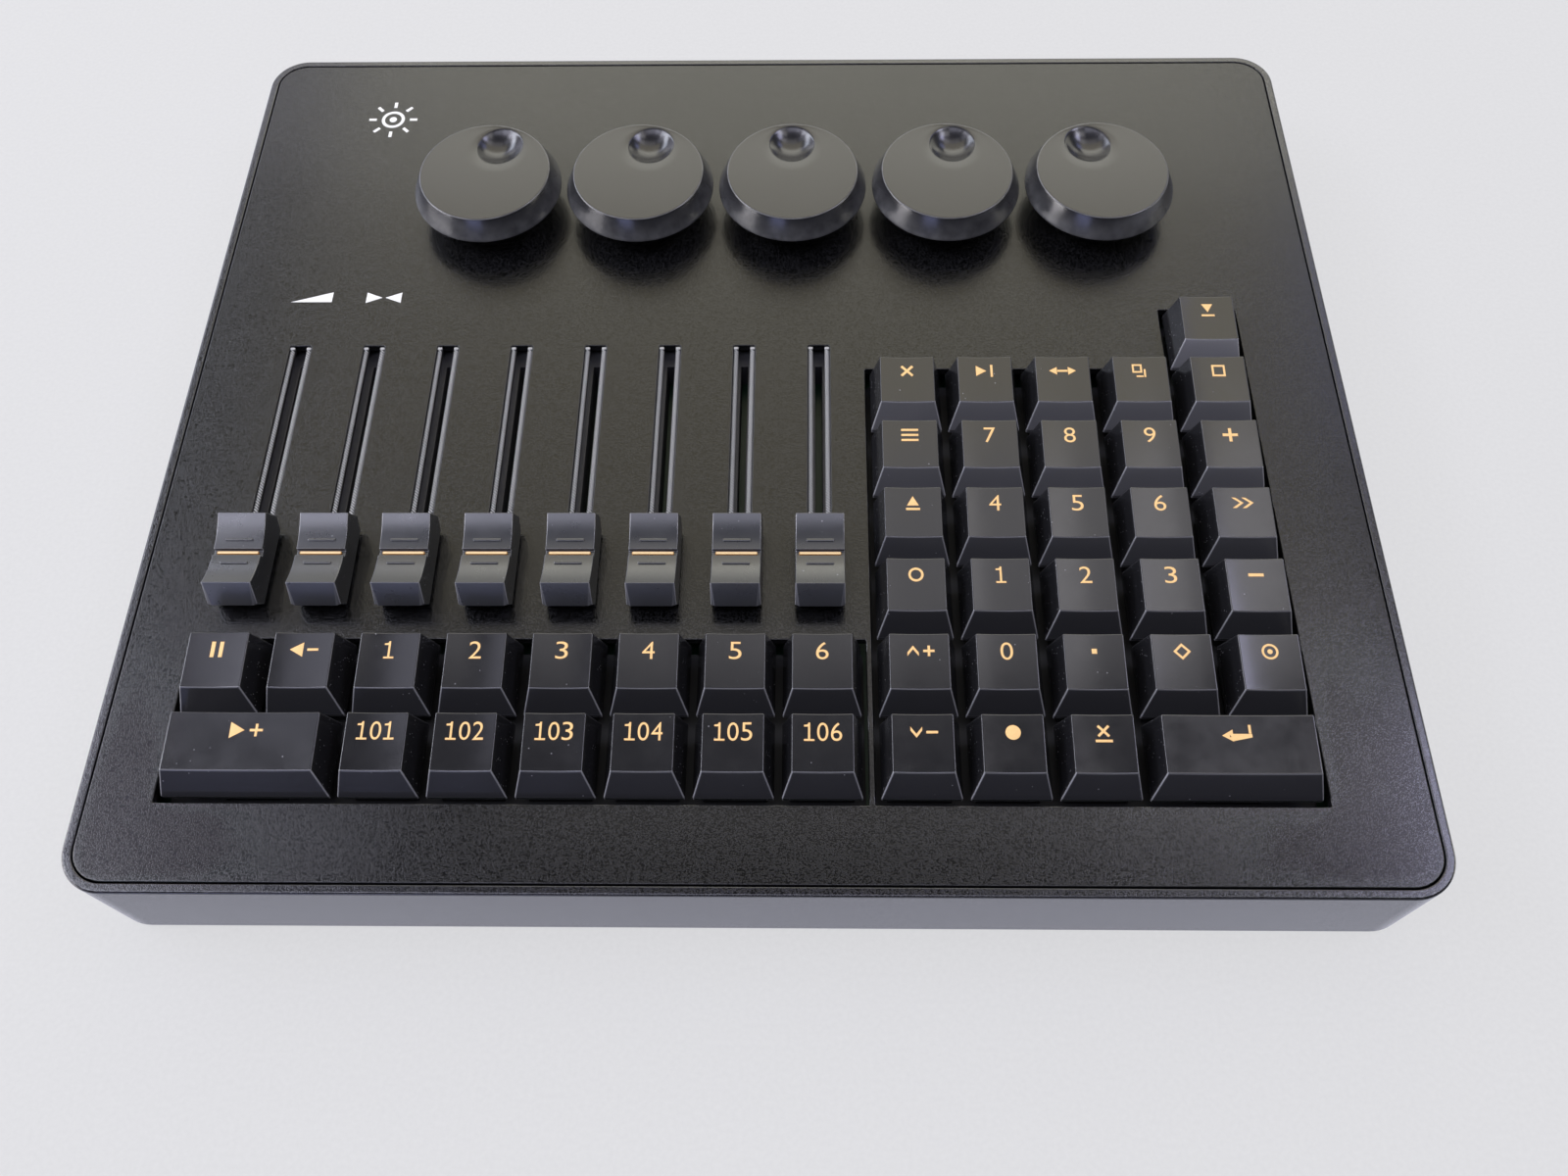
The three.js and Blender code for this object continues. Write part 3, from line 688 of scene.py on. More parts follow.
def sheet(outer, holes, low, high, edge, corner, outer_corner):
    """A flat sheet with holes, its upper edges rounded. Holes are given anticlockwise too."""
    bm = bmesh.new()
    upper = []
    lower = []
    for outline, radius, side in [(outer, outer_corner, 1)] + [(hole, corner, -1) for hole in holes]:
        rings = [(0, low), (0, high - edge - SUPPORT)]
        rings += [(-side * inset, high - drop) for inset, drop in fillet(edge)]
        rings.append((-side * (edge + SUPPORT), high))
        shapes = [at_height(rounded(outline, radius, out, SHEET_ARC_STEPS), z) for out, z in rings]
        rows = loft(bm, shapes, False, False)
        upper += row_edges(bm, rows[-1])
        lower += row_edges(bm, rows[0])
    for edges in (upper, lower):
        bmesh.ops.triangle_fill(bm, use_beauty=True, use_dissolve=False, edges=edges)
    return mesh_of(bm)


# Pieces

def placed(mesh, name):
    made = bpy.data.objects.new(name, mesh)
    bpy.context.scene.collection.objects.link(made)
    return made


def mark_edges(mesh):
    """Gives each point a number that is one where the surface turns outwards, for painted edge
    highlights.
    """
    bm = bmesh.new()
    bm.from_mesh(mesh)
    layer = bm.verts.layers.float.new("edge")
    for vert in bm.verts:
        turns = [edge.calc_face_angle_signed(0) for edge in vert.link_edges if edge.is_manifold]
        vert[layer] = 1.0 if max(turns, default=0) > HIGHLIGHT_EDGE_ANGLE else 0.0
    bm.to_mesh(mesh)
    bm.free()


def piece(name, mesh, finish, body, replaces=()):
    """A finished piece: its finish, its smooth shading, its body and what it stands for."""
    mesh.name = name
    mark_edges(mesh)
    mesh.shade_smooth()
    mesh.set_sharp_from_angle(angle=SHARP_ANGLE)
    mesh.materials.clear()
    mesh.materials.append(finish)
    made = placed(mesh, name)
    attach(made, body)
    if replaces:
        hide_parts(*replaces)


def fitting(name, mesh, finish, node="top_panel"):
    """A piece fixed in the case that stands for a part of one of its two nodes."""
    piece(name, mesh, finish, CASE_BODY, replaces=[node])


def evaluated_mesh(made):
    """What an object's modifiers or curve make of it, as a plain mesh. The object goes."""
    bpy.context.view_layer.update()
    source = made.evaluated_get(bpy.context.evaluated_depsgraph_get())
    mesh = bpy.data.meshes.new_from_object(source)
    bpy.data.objects.remove(made)
    return mesh


def cut(mesh, cutter):
    """One mesh with the other taken away."""
    body = placed(mesh, "cut_body")
    knife = placed(cutter, "cut_knife")
    modifier = body.modifiers.new("cut", "BOOLEAN")
    modifier.operation = "DIFFERENCE"
    modifier.solver = "EXACT"
    modifier.object = knife
    result = evaluated_mesh(body)
    bpy.data.objects.remove(knife)
    return result


def moved(mesh, place, turn=0.0):
    copy = mesh.copy()
    copy.transform(Matrix.Translation(place) @ Matrix.Rotation(turn, 4, "Z"))
    return copy


# Repeats, grown by Geometry Nodes

class Recipe(Graph):
    """A Geometry Nodes tree with named inputs, ended by grow()."""

    def __init__(self, name, inputs):
        super().__init__(bpy.data.node_groups.new(name, "GeometryNodeTree"))
        interface = self.tree.interface
        interface.new_socket("Geometry", in_out="INPUT", socket_type="NodeSocketGeometry")
        for label, kind in inputs.items():
            interface.new_socket(label, in_out="INPUT", socket_type=kind)
        interface.new_socket("Geometry", in_out="OUTPUT", socket_type="NodeSocketGeometry")
        self.entry = self.tree.nodes.new("NodeGroupInput")

    def given(self, label):
        return Wire(self, self.entry.outputs[label])

    def on_points(self, points, shape, **sockets):
        sockets = {"Points": points, "Instance": shape, **sockets}
        return self.add("GeometryNodeInstanceOnPoints", sockets=sockets)

    def finished(self, geometry):
        whole = self.add("GeometryNodeRealizeInstances", sockets={"Geometry": geometry})
        sockets = {"Geometry": whole, "Material": self.given("Finish")}
        painted = self.add("GeometryNodeSetMaterial", sockets=sockets)
        self.add("NodeGroupOutput", sockets={"Geometry": painted})
        return self.tree


def grow(tree, base, values):
    """Runs a tree on a base mesh with its inputs set, and returns the plain mesh it makes."""
    made = placed(base, "grown")
    modifier = made.modifiers.new("grow", "NODES")
    modifier.node_group = tree
    for item in tree.interface.items_tree:
        if item.in_out == "INPUT" and item.name in values:
            modifier[item.identifier] = values[item.name]
    return evaluated_mesh(made)


def points_mesh(places):
    mesh = bpy.data.meshes.new("places")
    mesh.from_pydata([tuple(place) for place in places], [], [])
    return mesh


def copies_recipe():
    """One copy of a shape on each vertex of the base mesh."""
    recipe = Recipe("copies_on_places", {"Shape": "NodeSocketObject", "Finish": "NodeSocketMaterial"})
    sockets = {"Object": recipe.given("Shape")}
    shape = recipe.add("GeometryNodeObjectInfo", sockets=sockets, output="Geometry")
    return recipe.finished(recipe.on_points(recipe.given("Geometry"), shape))


def ribs_recipe():
    """Slanted ribs along a strip, on a line from each vertex of the base mesh towards the back."""
    labels = ("Length", "Pitch", "Rib Width", "Rib Length", "Rib Height", "Slant")
    inputs = {label: "NodeSocketFloat" for label in labels}
    recipe = Recipe("slanted_ribs", {**inputs, "Finish": "NodeSocketMaterial"})
    length, pitch, width, across, height, slant = (recipe.given(label) for label in labels)
    step = recipe.add("ShaderNodeCombineXYZ", sockets={"Y": pitch})
    stretch = recipe.add("ShaderNodeCombineXYZ", sockets={"X": across, "Y": width, "Z": height})
    turn = recipe.add("ShaderNodeCombineXYZ", sockets={"Z": slant})
    sockets = {"Count": length / pitch, "Offset": step}
    line = recipe.add("GeometryNodeMeshLine", {"mode": "OFFSET"}, sockets)
    sockets = {"Segments": RIB_SEGMENTS, "Rings": RIB_RINGS, "Radius": 0.5}
    spindle = recipe.add("GeometryNodeMeshUVSphere", sockets=sockets)
    sockets = {"Geometry": spindle, "Scale": stretch}
    rib = recipe.add("GeometryNodeTransform", sockets=sockets)
    row = recipe.on_points(line, rib, Rotation=turn)
    return recipe.finished(recipe.on_points(recipe.given("Geometry"), row))


COPIES = copies_recipe()
RIBS = ribs_recipe()


def copies(shape, places, finish):
    """A mesh of one shape repeated at many places."""
    template = placed(shape, "template")
    mesh = grow(COPIES, points_mesh(places), {"Shape": template, "Finish": finish})
    bpy.data.objects.remove(template)
    return mesh


def fittings(name, shape, places, finish, node="top_panel"):
    """One fitting repeated at many places, as one piece."""
    fitting(name, copies(shape, places, finish), finish, node)


def board(name, outline, high, corner=BOARD_CORNER, node="top_panel"):
    """A circuit board whose upper face lies at some height."""
    shape = sheet(outline, [], high - BOARD_THICKNESS, high, BOARD_EDGE, 0, corner)
    fitting(name, shape, BOARD_LACQUER, node)


# Case

def case_outline(inset):
    low = CASE_LOW
    high = CASE_HIGH
    return rectangle(low.x + inset, high.x - inset, low.y + inset, high.y - inset)


def post_places(height):
    x = CASE_HIGH.x - POST_INSET
    y = CASE_HIGH.y - POST_INSET
    spots = [(px, py) for px in (-x, 0, x) for py in (-y, 0, y) if px or py]
    return [Vector((px, py, height)) for px, py in spots]


def foot_places(height):
    x = CASE_HIGH.x - FOOT_INSET
    y = CASE_HIGH.y - FOOT_INSET
    return [Vector((px, py, height)) for px in (-x, x) for py in (-y, y)]


def case_shell():
    """The tray: floor and walls in one skin, with its rim, the socket's window and screw holes."""
    lower = [(-inset, CASE_BOTTOM + drop) for inset, drop in reversed(fillet(CASE_LOWER_EDGE))]
    upper = [(-inset, PANEL_TOP - drop) for inset, drop in fillet(RIM_OUTER_EDGE)]
    inner = [(inset, PANEL_TOP - drop) for inset, drop in reversed(fillet(RIM_INNER_EDGE))]
    outside = [
        *lower,
        (0, CASE_BOTTOM + CASE_LOWER_EDGE + SUPPORT),
        (0, PANEL_TOP - RIM_OUTER_EDGE - SUPPORT),
        *upper,
        (-RIM_OUTER_EDGE - SUPPORT, PANEL_TOP),
    ]
    inside = [
        (RIM_INNER_EDGE + SUPPORT, PANEL_TOP),
        *inner,
        (0, PANEL_TOP - RIM_INNER_EDGE - SUPPORT),
        (0, FLOOR_TOP),
    ]
    rings = []
    for inset, radius, levels in ((0, CASE_CORNER, outside), (CASE_WALL, OPENING_CORNER, inside)):
        outline = case_outline(inset)
        rings += [at_height(rounded(outline, radius, out, CASE_ARC_STEPS), z) for out, z in levels]
    bm = bmesh.new()
    loft(bm, rings)
    knives = bmesh.new()
    recess = CASE_BOTTOM + SCREW_RECESS_DEPTH
    profile = [
        (SCREW_RECESS_RADIUS, CASE_BOTTOM - OVERRUN),
        (SCREW_RECESS_RADIUS, recess),
        (SCREW_HOLE_RADIUS, recess),
        (SCREW_HOLE_RADIUS, FLOOR_TOP + OVERRUN),
    ]
    for place in post_places(0):
        drum(knives, profile, HOLE_SIDES, place.x, place.y)
    width = SOCKET_WIDTH + 2 * SOCKET_GAP
    window = centred(width, SOCKET_HEIGHT + 2 * SOCKET_GAP, -SOCKET_X, SOCKET_Z)
    outline = rounded(window, SOCKET_HEIGHT / 2)
    ends = (CASE_HIGH.y + OVERRUN, CASE_HIGH.y - CASE_WALL - OVERRUN)
    loft(knives, [[Vector((-point.x, y, point.y)) for point in outline] for y in ends])
    return cut(mesh_of(bm), mesh_of(knives))


def foot_shape():
    """A rubber foot with a shallow hollow under it, from the table up."""
    rings = [(FOOT_RADIUS - inset, drop) for inset, drop in reversed(fillet(FOOT_EDGE))]
    hollow = [(FOOT_RADIUS / 2, FOOT_HOLLOW_DEPTH), (FOOT_RADIUS / 2 + FOOT_HOLLOW_SLOPE, 0)]
    side = [(FOOT_RADIUS, FOOT_EDGE + SUPPORT), (FOOT_RADIUS, CASE_BOTTOM)]
    return drum_shape([*hollow, *rings, *side], FOOT_SIDES)


def screw_shape():
    """A machine screw that points up, with its cross, from its head's lowest face."""
    rings = reversed(fillet(SCREW_HEAD_EDGE))
    profile = [(SCREW_HEAD_RADIUS - inset, drop) for inset, drop in rings]
    profile += [(SCREW_HEAD_RADIUS, SCREW_HEAD_HEIGHT), (SCREW_SHANK_RADIUS, SCREW_HEAD_HEIGHT)]
    for turn in range(round(SCREW_LENGTH / THREAD_PITCH)):
        height = SCREW_HEAD_HEIGHT + turn * THREAD_PITCH
        profile.append((SCREW_SHANK_RADIUS, height + THREAD_LAND_SHARE * THREAD_PITCH))
        profile.append((SCREW_SHANK_RADIUS - THREAD_DEPTH, height + THREAD_PITCH / 2))
    screw = drum_shape(profile, SCREW_SIDES)
    deep = CROSS_DEPTH_SHARE * SCREW_HEAD_HEIGHT
    for width, depth in ((CROSS_LENGTH, CROSS_WIDTH), (CROSS_WIDTH, CROSS_LENGTH)):
        end = centred(width * CROSS_X_TAPER, depth * CROSS_Y_TAPER)
        wide = at_height(rounded(centred(width, depth), CROSS_CORNER), -OVERRUN)
        narrow = at_height(rounded(end, CROSS_DEEP_CORNER), deep)
        notch = bmesh.new()
        loft(notch, [wide, narrow])
        screw = cut(screw, mesh_of(notch))
    return screw


def build_case():
    piece("bottom_case_shell", case_shell(), CASE_COAT, CASE_BODY, ["bottom_case"])
    fittings("rubber_feet", foot_shape(), foot_places(0), RUBBER, "bottom_case")
    recess = CASE_BOTTOM + SCREW_RECESS_DEPTH - SCREW_HEAD_HEIGHT
    screws = copies(screw_shape(), post_places(recess), STEEL)
    piece("case_screws", screws, STEEL, CASE_BODY)


def build_socket():
    """The small data socket in the rear wall: shell, tongue, contacts, board and its posts."""
    mouth = CASE_HIGH.y - CASE_WALL - SOCKET_GAP
    root = mouth - SOCKET_CAVITY
    stages = [(0, mouth - SOCKET_DEPTH), (0, mouth), (-SOCKET_WALL, mouth), (-SOCKET_WALL, root)]
    outside = centred(SOCKET_WIDTH, SOCKET_HEIGHT)
    radius = SOCKET_HEIGHT / 2 - SUPPORT
    bm = bmesh.new()
    rings = []
    for offset, y in stages:
        points = rounded(outside, radius, offset, SHEET_ARC_STEPS, SUPPORT / 4)
        rings.append([Vector((SOCKET_X - point.x, y, SOCKET_Z + point.y)) for point in points])
    loft(bm, rings)
    fitting("data_socket_shell", mesh_of(bm), NICKEL, "bottom_case")

    half = Vector((TONGUE_WIDTH / 2, TONGUE_THICKNESS / 2))
    low = Vector((SOCKET_X - half.x, root, SOCKET_Z - half.y))
    high = Vector((SOCKET_X + half.x, root + TONGUE_LENGTH, SOCKET_Z + half.y))
    tongue = block_shape(low, high, TONGUE_CORNER, TONGUE_EDGE)
    piece("data_socket_tongue", tongue, SWITCH_PLASTIC, CASE_BODY)

    low = Vector((-CONTACT_WIDTH / 2, CONTACT_START, 0))
    high = Vector((CONTACT_WIDTH / 2, TONGUE_LENGTH - CONTACT_END, CONTACT_THICKNESS))
    contact = block_shape(low, high, CONTACT_CORNER, CONTACT_EDGE, 1)
    pitch = TONGUE_WIDTH / (CONTACT_COUNT + 1)
    xs = [SOCKET_X + pitch * (k - (CONTACT_COUNT - 1) / 2) for k in range(CONTACT_COUNT)]
    heights = (SOCKET_Z + half.y, SOCKET_Z - half.y - CONTACT_THICKNESS)
    places = [Vector((x, root, z)) for x in xs for z in heights]
    piece("data_socket_contacts", copies(contact, places, GOLD), GOLD, CASE_BODY)

    middle = mouth - SOCKET_BOARD.y / 2
    top = SOCKET_Z - SOCKET_HEIGHT / 2
    outline = centred(*SOCKET_BOARD, SOCKET_X, middle)
    board("data_socket_board", outline, top, SOCKET_BOARD_CORNER, "bottom_case")
    reach = SOCKET_BOARD / 2 - Vector((SOCKET_POST_INSET, SOCKET_POST_INSET))
    spots = [(x, y) for x in (-reach.x, reach.x) for y in (-reach.y, reach.y)]
    places = [Vector((SOCKET_X + x, middle + y, FLOOR_TOP)) for x, y in spots]
    tall = top - BOARD_THICKNESS - FLOOR_TOP
    post = drum_shape([(SOCKET_POST_RADIUS, 0), (SOCKET_POST_RADIUS, tall)], POST_SIDES)
    fittings("data_socket_posts", post, places, CASE_COAT, "bottom_case")


# Keys

def cell_of(node):
    """A key's cell as its left and front edge and its width in cells, from its node's box."""
    low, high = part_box(node)
    cells = round((high.x - low.x) / KEY_PITCH)
    return low.x - CELL_SIDE, low.y - CELL_FRONT, cells


KEYS = {name: cell_of(name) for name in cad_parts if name.endswith("_key")}


class KeyTop:
    """The dished top face of a keycap that is some cells wide, from its cell's front left corner."""

    def __init__(self, cells):
        self.low_x = CELL_SIDE
        self.high_x = cells * KEY_PITCH - CELL_SIDE
        self.low_y = CELL_FRONT
        self.high_y = KEY_PITCH - CELL_BACK
        self.front = self.low_y + KEY_FRONT_SLOPE
        self.back = self.high_y - KEY_BACK_SLOPE
        self.middle = (self.low_x + self.high_x) / 2
        self.half = self.middle - self.low_x - KEY_SIDE_SLOPE

    def plane(self, y):
        share = (y - self.front) / (self.back - self.front)
        return KEY_FRONT_RISE + share * (KEY_BACK_RISE - KEY_FRONT_RISE)

    def height(self, x, y):
        across = min(abs(x - self.middle) / self.half, 1)
        return self.plane(y) - KEY_DISH * (1 - across ** 2)

    def foot_outline(self):
        return rectangle(self.low_x, self.high_x, self.low_y, self.high_y)

    def top_outline(self):
        return rectangle(self.middle - self.half, self.middle + self.half, self.front, self.back)


def keycap_shape(cells):
    """A hollow keycap with its stems, from its cell's front left corner at the panel's top."""
    top = KeyTop(cells)
    splits = [KEY_SPLITS * cells, 1, KEY_SPLITS * cells, 1]

    def ring(outline, offset, height):
        points = rounded(outline, KEY_CORNER, offset, splits=splits)
        return [Vector((point.x, point.y, height(point.x, point.y))) for point in points]

    def level(z):
        return lambda x, y: z

    def roof(x, y):
        return top.plane(y) - KEY_ROOF

    foot = top.foot_outline()
    upper = top.top_outline()
    shoulder = ring(foot, 0, level(-KEY_SHOULDER))
    crown = ring(upper, 0, top.height)
    inset = ring(upper, -KEY_EDGE, top.height)

    def between(share):
        """A ring on the slope, from the crown at 0 to the shoulder at 1."""
        return [high.lerp(low, share) for low, high in zip(shoulder, crown)]

    def bend(share):
        """A ring on the small round between the slope and the top."""
        threes = zip(below, crown, inset)
        return [a.lerp(b, share).lerp(b.lerp(c, share), share) for a, b, c in threes]

    edge_share = KEY_EDGE / KEY_FRONT_RISE
    below = between(edge_share)
    bm = bmesh.new()
    rows = loft(bm, [
        ring(upper, -KEY_WALL, roof),
        ring(foot, -KEY_WALL, level(-KEY_SHOULDER)),
        ring(foot, -KEY_WALL, level(-KEY_LIP)),
        ring(foot, 0, level(-KEY_LIP)),
        ring(foot, 0, level(-KEY_SHOULDER - SUPPORT)),
        shoulder,
        between(KEY_SHOULDER_SHARE),
        between(edge_share * KEY_SUPPORT_SHARE),
        below,
        bend(0.25),
        bend(0.5),
        bend(0.75),
        inset,
        ring(upper, -KEY_EDGE - SUPPORT, top.height),
    ], False, False)
    for row in (rows[0], rows[-1]):
        for k in range((len(row) - 1) // 2):
            bm.faces.new((row[k], row[k + 1], row[-2 - k], row[-1 - k]))
    half = STEM_WIDTH / 2
    y = KEY_PITCH / 2
    for shift in [0, -STABILISER_REACH, STABILISER_REACH] if cells > 1 else [0]:
        x = cells * KEY_PITCH / 2 + shift
        low = Vector((x - half, y - half, -STEM_BOTTOM))
        high = Vector((x + half, y + half, KEY_FRONT_RISE - KEY_ROOF / 2))
        block(bm, low, high, STEM_CORNER, STEM_EDGE, 2)
    return mesh_of(bm)


# Marks: outlines in units of a digit's height, filled where an odd number of them lies

def bar(left, low, right, high):
    return [(left, low), (right, low), (right, high), (left, high)]


def dash(left, right, y=0):
    """A thin level line."""
    return bar(left, y - THIN / 2, right, y + THIN / 2)


def base_line(reach, low):
    """A thin level line under a mark."""
    return bar(-reach, low, reach, low + THIN)


def ring_mark(x, y, outer, inner):
    return [circle_mark(x, y, outer), circle_mark(x, y, inner)]


def circle_mark(x, y, radius):
    return [(point.x, point.y) for point in circle(radius, MARK_SIDES, 0, x, y)]


def arrow(x, y, size, turn):
    """A solid triangle that points to the right when turn is zero, in degrees."""
    back = -0.42 * size
    return turned([(back, -size / 2), (0.45 * size, 0), (back, size / 2)], x, y, turn)


def chevron(x, y, size, weight, turn):
    half = size / 2
    shape = [(-half, -half), (weight - half, -half), (half, 0), (weight - half, half), (-half, half)]
    return turned([*shape, (half - weight, 0)], x, y, turn)


def turned(shape, x, y, degrees):
    angle = math.radians(degrees)
    sine = math.sin(angle)
    cosine = math.cos(angle)
    return [(x + cosine * px - sine * py, y + sine * px + cosine * py) for px, py in shape]


def square_mark(x, y, outer, inner):
    return [bar(x - half, y - half, x + half, y + half) for half in (outer, inner)]


def cross(x, y, size, weight, turn):
    half = size / 2
    thin = weight / 2
    arm = [(thin, thin), (thin, half), (-thin, half), (-thin, thin)]
    shape = [point for k in range(4) for point in turned(arm, 0, 0, 90 * k)[:3]]
    return turned(shape, x, y, turn)


THIN = 0.13
DIGIT_ONE = [
    (-0.27, -0.5), (0.29, -0.5), (0.29, -0.385), (0.065, -0.385), (0.065, 0.5),
    (-0.035, 0.5), (-0.06, 0.42), (-0.13, 0.385), (-0.27, 0.375), (-0.27, 0.27),
    (-0.06, 0.27), (-0.06, -0.385), (-0.27, -0.385),
]
ICONS = {
    "pause_key": [bar(-0.3, -0.4, -0.1, 0.4), bar(0.1, -0.4, 0.3, 0.4)],
    "go_back_key": [arrow(-0.3, 0, 0.75, 180), dash(0.2, 0.75)],
    "go_key": [arrow(-0.25, 0, 0.8, 0), cross(0.65, 0, 0.62, THIN, 0)],
    "page_up_key": [chevron(-0.3, 0, 0.55, 0.2, 90), cross(0.45, 0, 0.55, THIN, 0)],
    "page_down_key": [chevron(-0.3, 0, 0.55, 0.2, -90), dash(0.15, 0.7)],
    "store_key": [circle_mark(0, 0, 0.36)],
    "clear_key": [cross(0, 0.08, 0.72, THIN, 45), base_line(0.4, -0.46)],
    "enter_key": [
        arrow(-0.55, -0.12, 0.6, 180),
        bar(-0.45, -0.185, 0.55, -0.055),
        bar(0.42, -0.03, 0.55, 0.4),
    ],
    "if_key": [turned(square, 0, 0, 45) for square in square_mark(0, 0, 0.3, 0.18)],
    "at_key": [*ring_mark(0, 0, 0.4, 0.28), circle_mark(0, 0, 0.13)],
    "through_key": [chevron(-0.25, 0, 0.6, 0.2, 0), chevron(0.25, 0, 0.6, 0.2, 0)],
    "escape_key": ring_mark(0, 0, 0.38, 0.25),
    "update_key": [arrow(0, 0.1, 0.62, 90), base_line(0.36, -0.42)],
    "sequence_key": [dash(-0.45, 0.45, y) for y in (-0.3, 0, 0.3)],
    "delete_key": [cross(0, 0, 0.85, 0.15, 45)],
    "assign_key": [arrow(-0.2, 0, 0.65, 0), bar(0.3, -0.38, 0.3 + THIN, 0.38)],
    "move_key": [arrow(-0.5, 0, 0.5, 180), arrow(0.5, 0, 0.5, 0), dash(-0.28, 0.28)],
    "copy_key": [
        *square_mark(-0.17, 0.14, 0.27, 0.16),
        bar(0.17, -0.4, 0.28, 0.1),
        bar(-0.24, -0.4, 0.15, -0.29),
    ],
    "select_key": square_mark(0, 0, 0.36, 0.24),
    "backup_key": [arrow(0, 0.12, 0.62, -90), base_line(0.36, -0.42)],
    "dot_key": [bar(-0.13, -0.13, 0.13, 0.13)],
    "plus_key": [cross(0, 0, 0.8, 0.17, 0)],
    "minus_key": [bar(-0.38, -0.085, 0.38, 0.085)],
}


def digits_of(node):
    """The plain number that a key carries, or an empty text."""
    number = node.removesuffix("_key").rpartition("_")[2]
    return number if number.isdigit() else ""


def finished_mark(curve, rim, scale):
    """A curve's filled shape in metres, with an attribute that is one on its rim's lowest line."""
    curve.dimensions = "2D"
    curve.fill_mode = "BOTH"
    curve.extrude = rim / 2
    curve.bevel_depth = rim
    curve.bevel_resolution = 0
    curve.offset = curve.offset - rim
    bm = bmesh.new()
    bm.from_mesh(evaluated_mesh(placed(curve, "mark")))
    bmesh.ops.remove_doubles(bm, verts=bm.verts, dist=MARK_WELD)
    peak = max(vert.co.z for vert in bm.verts)
    rim_layer = bm.verts.layers.float.new("rim")
    for vert in bm.verts:
        on_top = vert.co.z > peak - rim / 10
        vert[rim_layer] = 0.0 if on_top else 1.0
        vert.co.z = MARK_THICKNESS if on_top else MARK_THICKNESS * vert.co.z / peak
        vert.co.x *= scale
        vert.co.y *= scale
    return bm


def text_curve(text):
    curve = bpy.data.curves.new("digits", "FONT")
    curve.body = text
    curve.align_x = "CENTER"
    curve.resolution_u = DIGIT_CURVE_STEPS
    return curve


def plain_curve(outlines):
    curve = bpy.data.curves.new("icon", "CURVE")
    for outline in outlines:
        spline = curve.splines.new("POLY")
        spline.points.add(len(outline) - 1)
        for point, (x, y) in zip(spline.points, outline):
            point.co = (x, y, 0, 1)
        spline.use_cyclic_u = True
    return curve


def digit_shape(digit, x, width_share):
    """One digit in metres, centred on a place along X. The one is drawn with a flag and a foot."""
    rim = MARK_RIM / MARK_HEIGHT
    if digit == "1":
        bm = finished_mark(plain_curve([DIGIT_ONE]), rim, MARK_HEIGHT)
    else:
        bm = finished_mark(text_curve(digit), rim * DIGIT_RIM_SHARE, 1)
        xs = [vert.co.x for vert in bm.verts]
        ys = [vert.co.y for vert in bm.verts]
        wide = width_share * MARK_HEIGHT / (max(xs) - min(xs))
        tall = MARK_HEIGHT / (max(ys) - min(ys))
        for vert in bm.verts:
            vert.co.x = (vert.co.x - (max(xs) + min(xs)) / 2) * wide
            vert.co.y = (vert.co.y - (max(ys) + min(ys)) / 2) * tall
    bmesh.ops.translate(bm, verts=bm.verts, vec=(x, 0, 0))
    return bm


def mark_shape(node):
    """A key's mark in metres, flat and centred on the origin."""
    text = digits_of(node)
    if not text:
        return finished_mark(plain_curve(ICONS[node]), MARK_RIM / ICON_HEIGHT, ICON_HEIGHT)
    whole = bmesh.new()
    width_share = DIGIT_WIDTH_SHARE if len(text) == 1 else NARROW_DIGIT_SHARE
    for index, digit in enumerate(text):
        x = (index - (len(text) - 1) / 2) * DIGIT_PITCH_SHARE * MARK_HEIGHT
        bm = digit_shape(digit, x, width_share)
        mesh = bpy.data.meshes.new("digit")
        bm.to_mesh(mesh)
        bm.free()
        whole.from_mesh(mesh)
    return whole


def keycap_mark(node, cells):
    """A key's mark laid on its dished top, from its cell's front left corner."""
    top = KeyTop(cells)
    y_middle = top.back - MARK_BACK_SHARE * (top.back - top.front)
    bm = mark_shape(node)
    slope = (KEY_BACK_RISE - KEY_FRONT_RISE) / (top.back - top.front)
    flat_share = math.cos(math.atan(slope))
    for vert in bm.verts:
        x = top.middle + vert.co.x
        y = y_middle + vert.co.y * flat_share
        vert.co = Vector((x, y, top.height(x, y) + vert.co.z - MARK_SINK))
    return mesh_of(bm)


def build_keys():
    shapes = {cells: keycap_shape(cells) for cells in {cells for _, _, cells in KEYS.values()}}
    for node, (x, y, cells) in sorted(KEYS.items()):
        place = Vector((x, y, PANEL_TOP))
        cap = moved(shapes[cells], place)
        piece(node + "cap", cap, KEY_PLASTIC, node, [node])
        mark = moved(keycap_mark(node, cells), place)
        piece(node + "_mark", mark, LEGEND, node)


# Key switches and boards

def key_middles():
    """Where each key's stem goes down, and where the wide keys' stabilisers do."""
    switches = []
    stabilisers = []
    for x, y, cells in KEYS.values():
        middle = Vector((x + cells * KEY_PITCH / 2, y + KEY_PITCH / 2, PANEL_TOP))
        switches.append(middle)
        if cells > 1:
            reach = Vector((STABILISER_REACH, 0, 0))
            stabilisers += [middle - reach, middle + reach]
    return switches, stabilisers


def housing_shape(width, top_width, top_depth):
    """A switch housing with its square bore, from the panel's top face at its middle."""
    levels = [
        (width, width, -BOARD_TOP),
        (width, width, -KEY_PLATE_TOP),
        (top_width, top_depth, -SWITCH_TOP),
        (BORE_WIDTH, BORE_WIDTH, -SWITCH_TOP),
        (BORE_WIDTH, BORE_WIDTH, -SWITCH_BORE),
    ]
    bm = bmesh.new()
    loft(bm, [at_height(rounded(centred(x, y), HOUSING_CORNER), z) for x, y, z in levels])
    return mesh_of(bm)


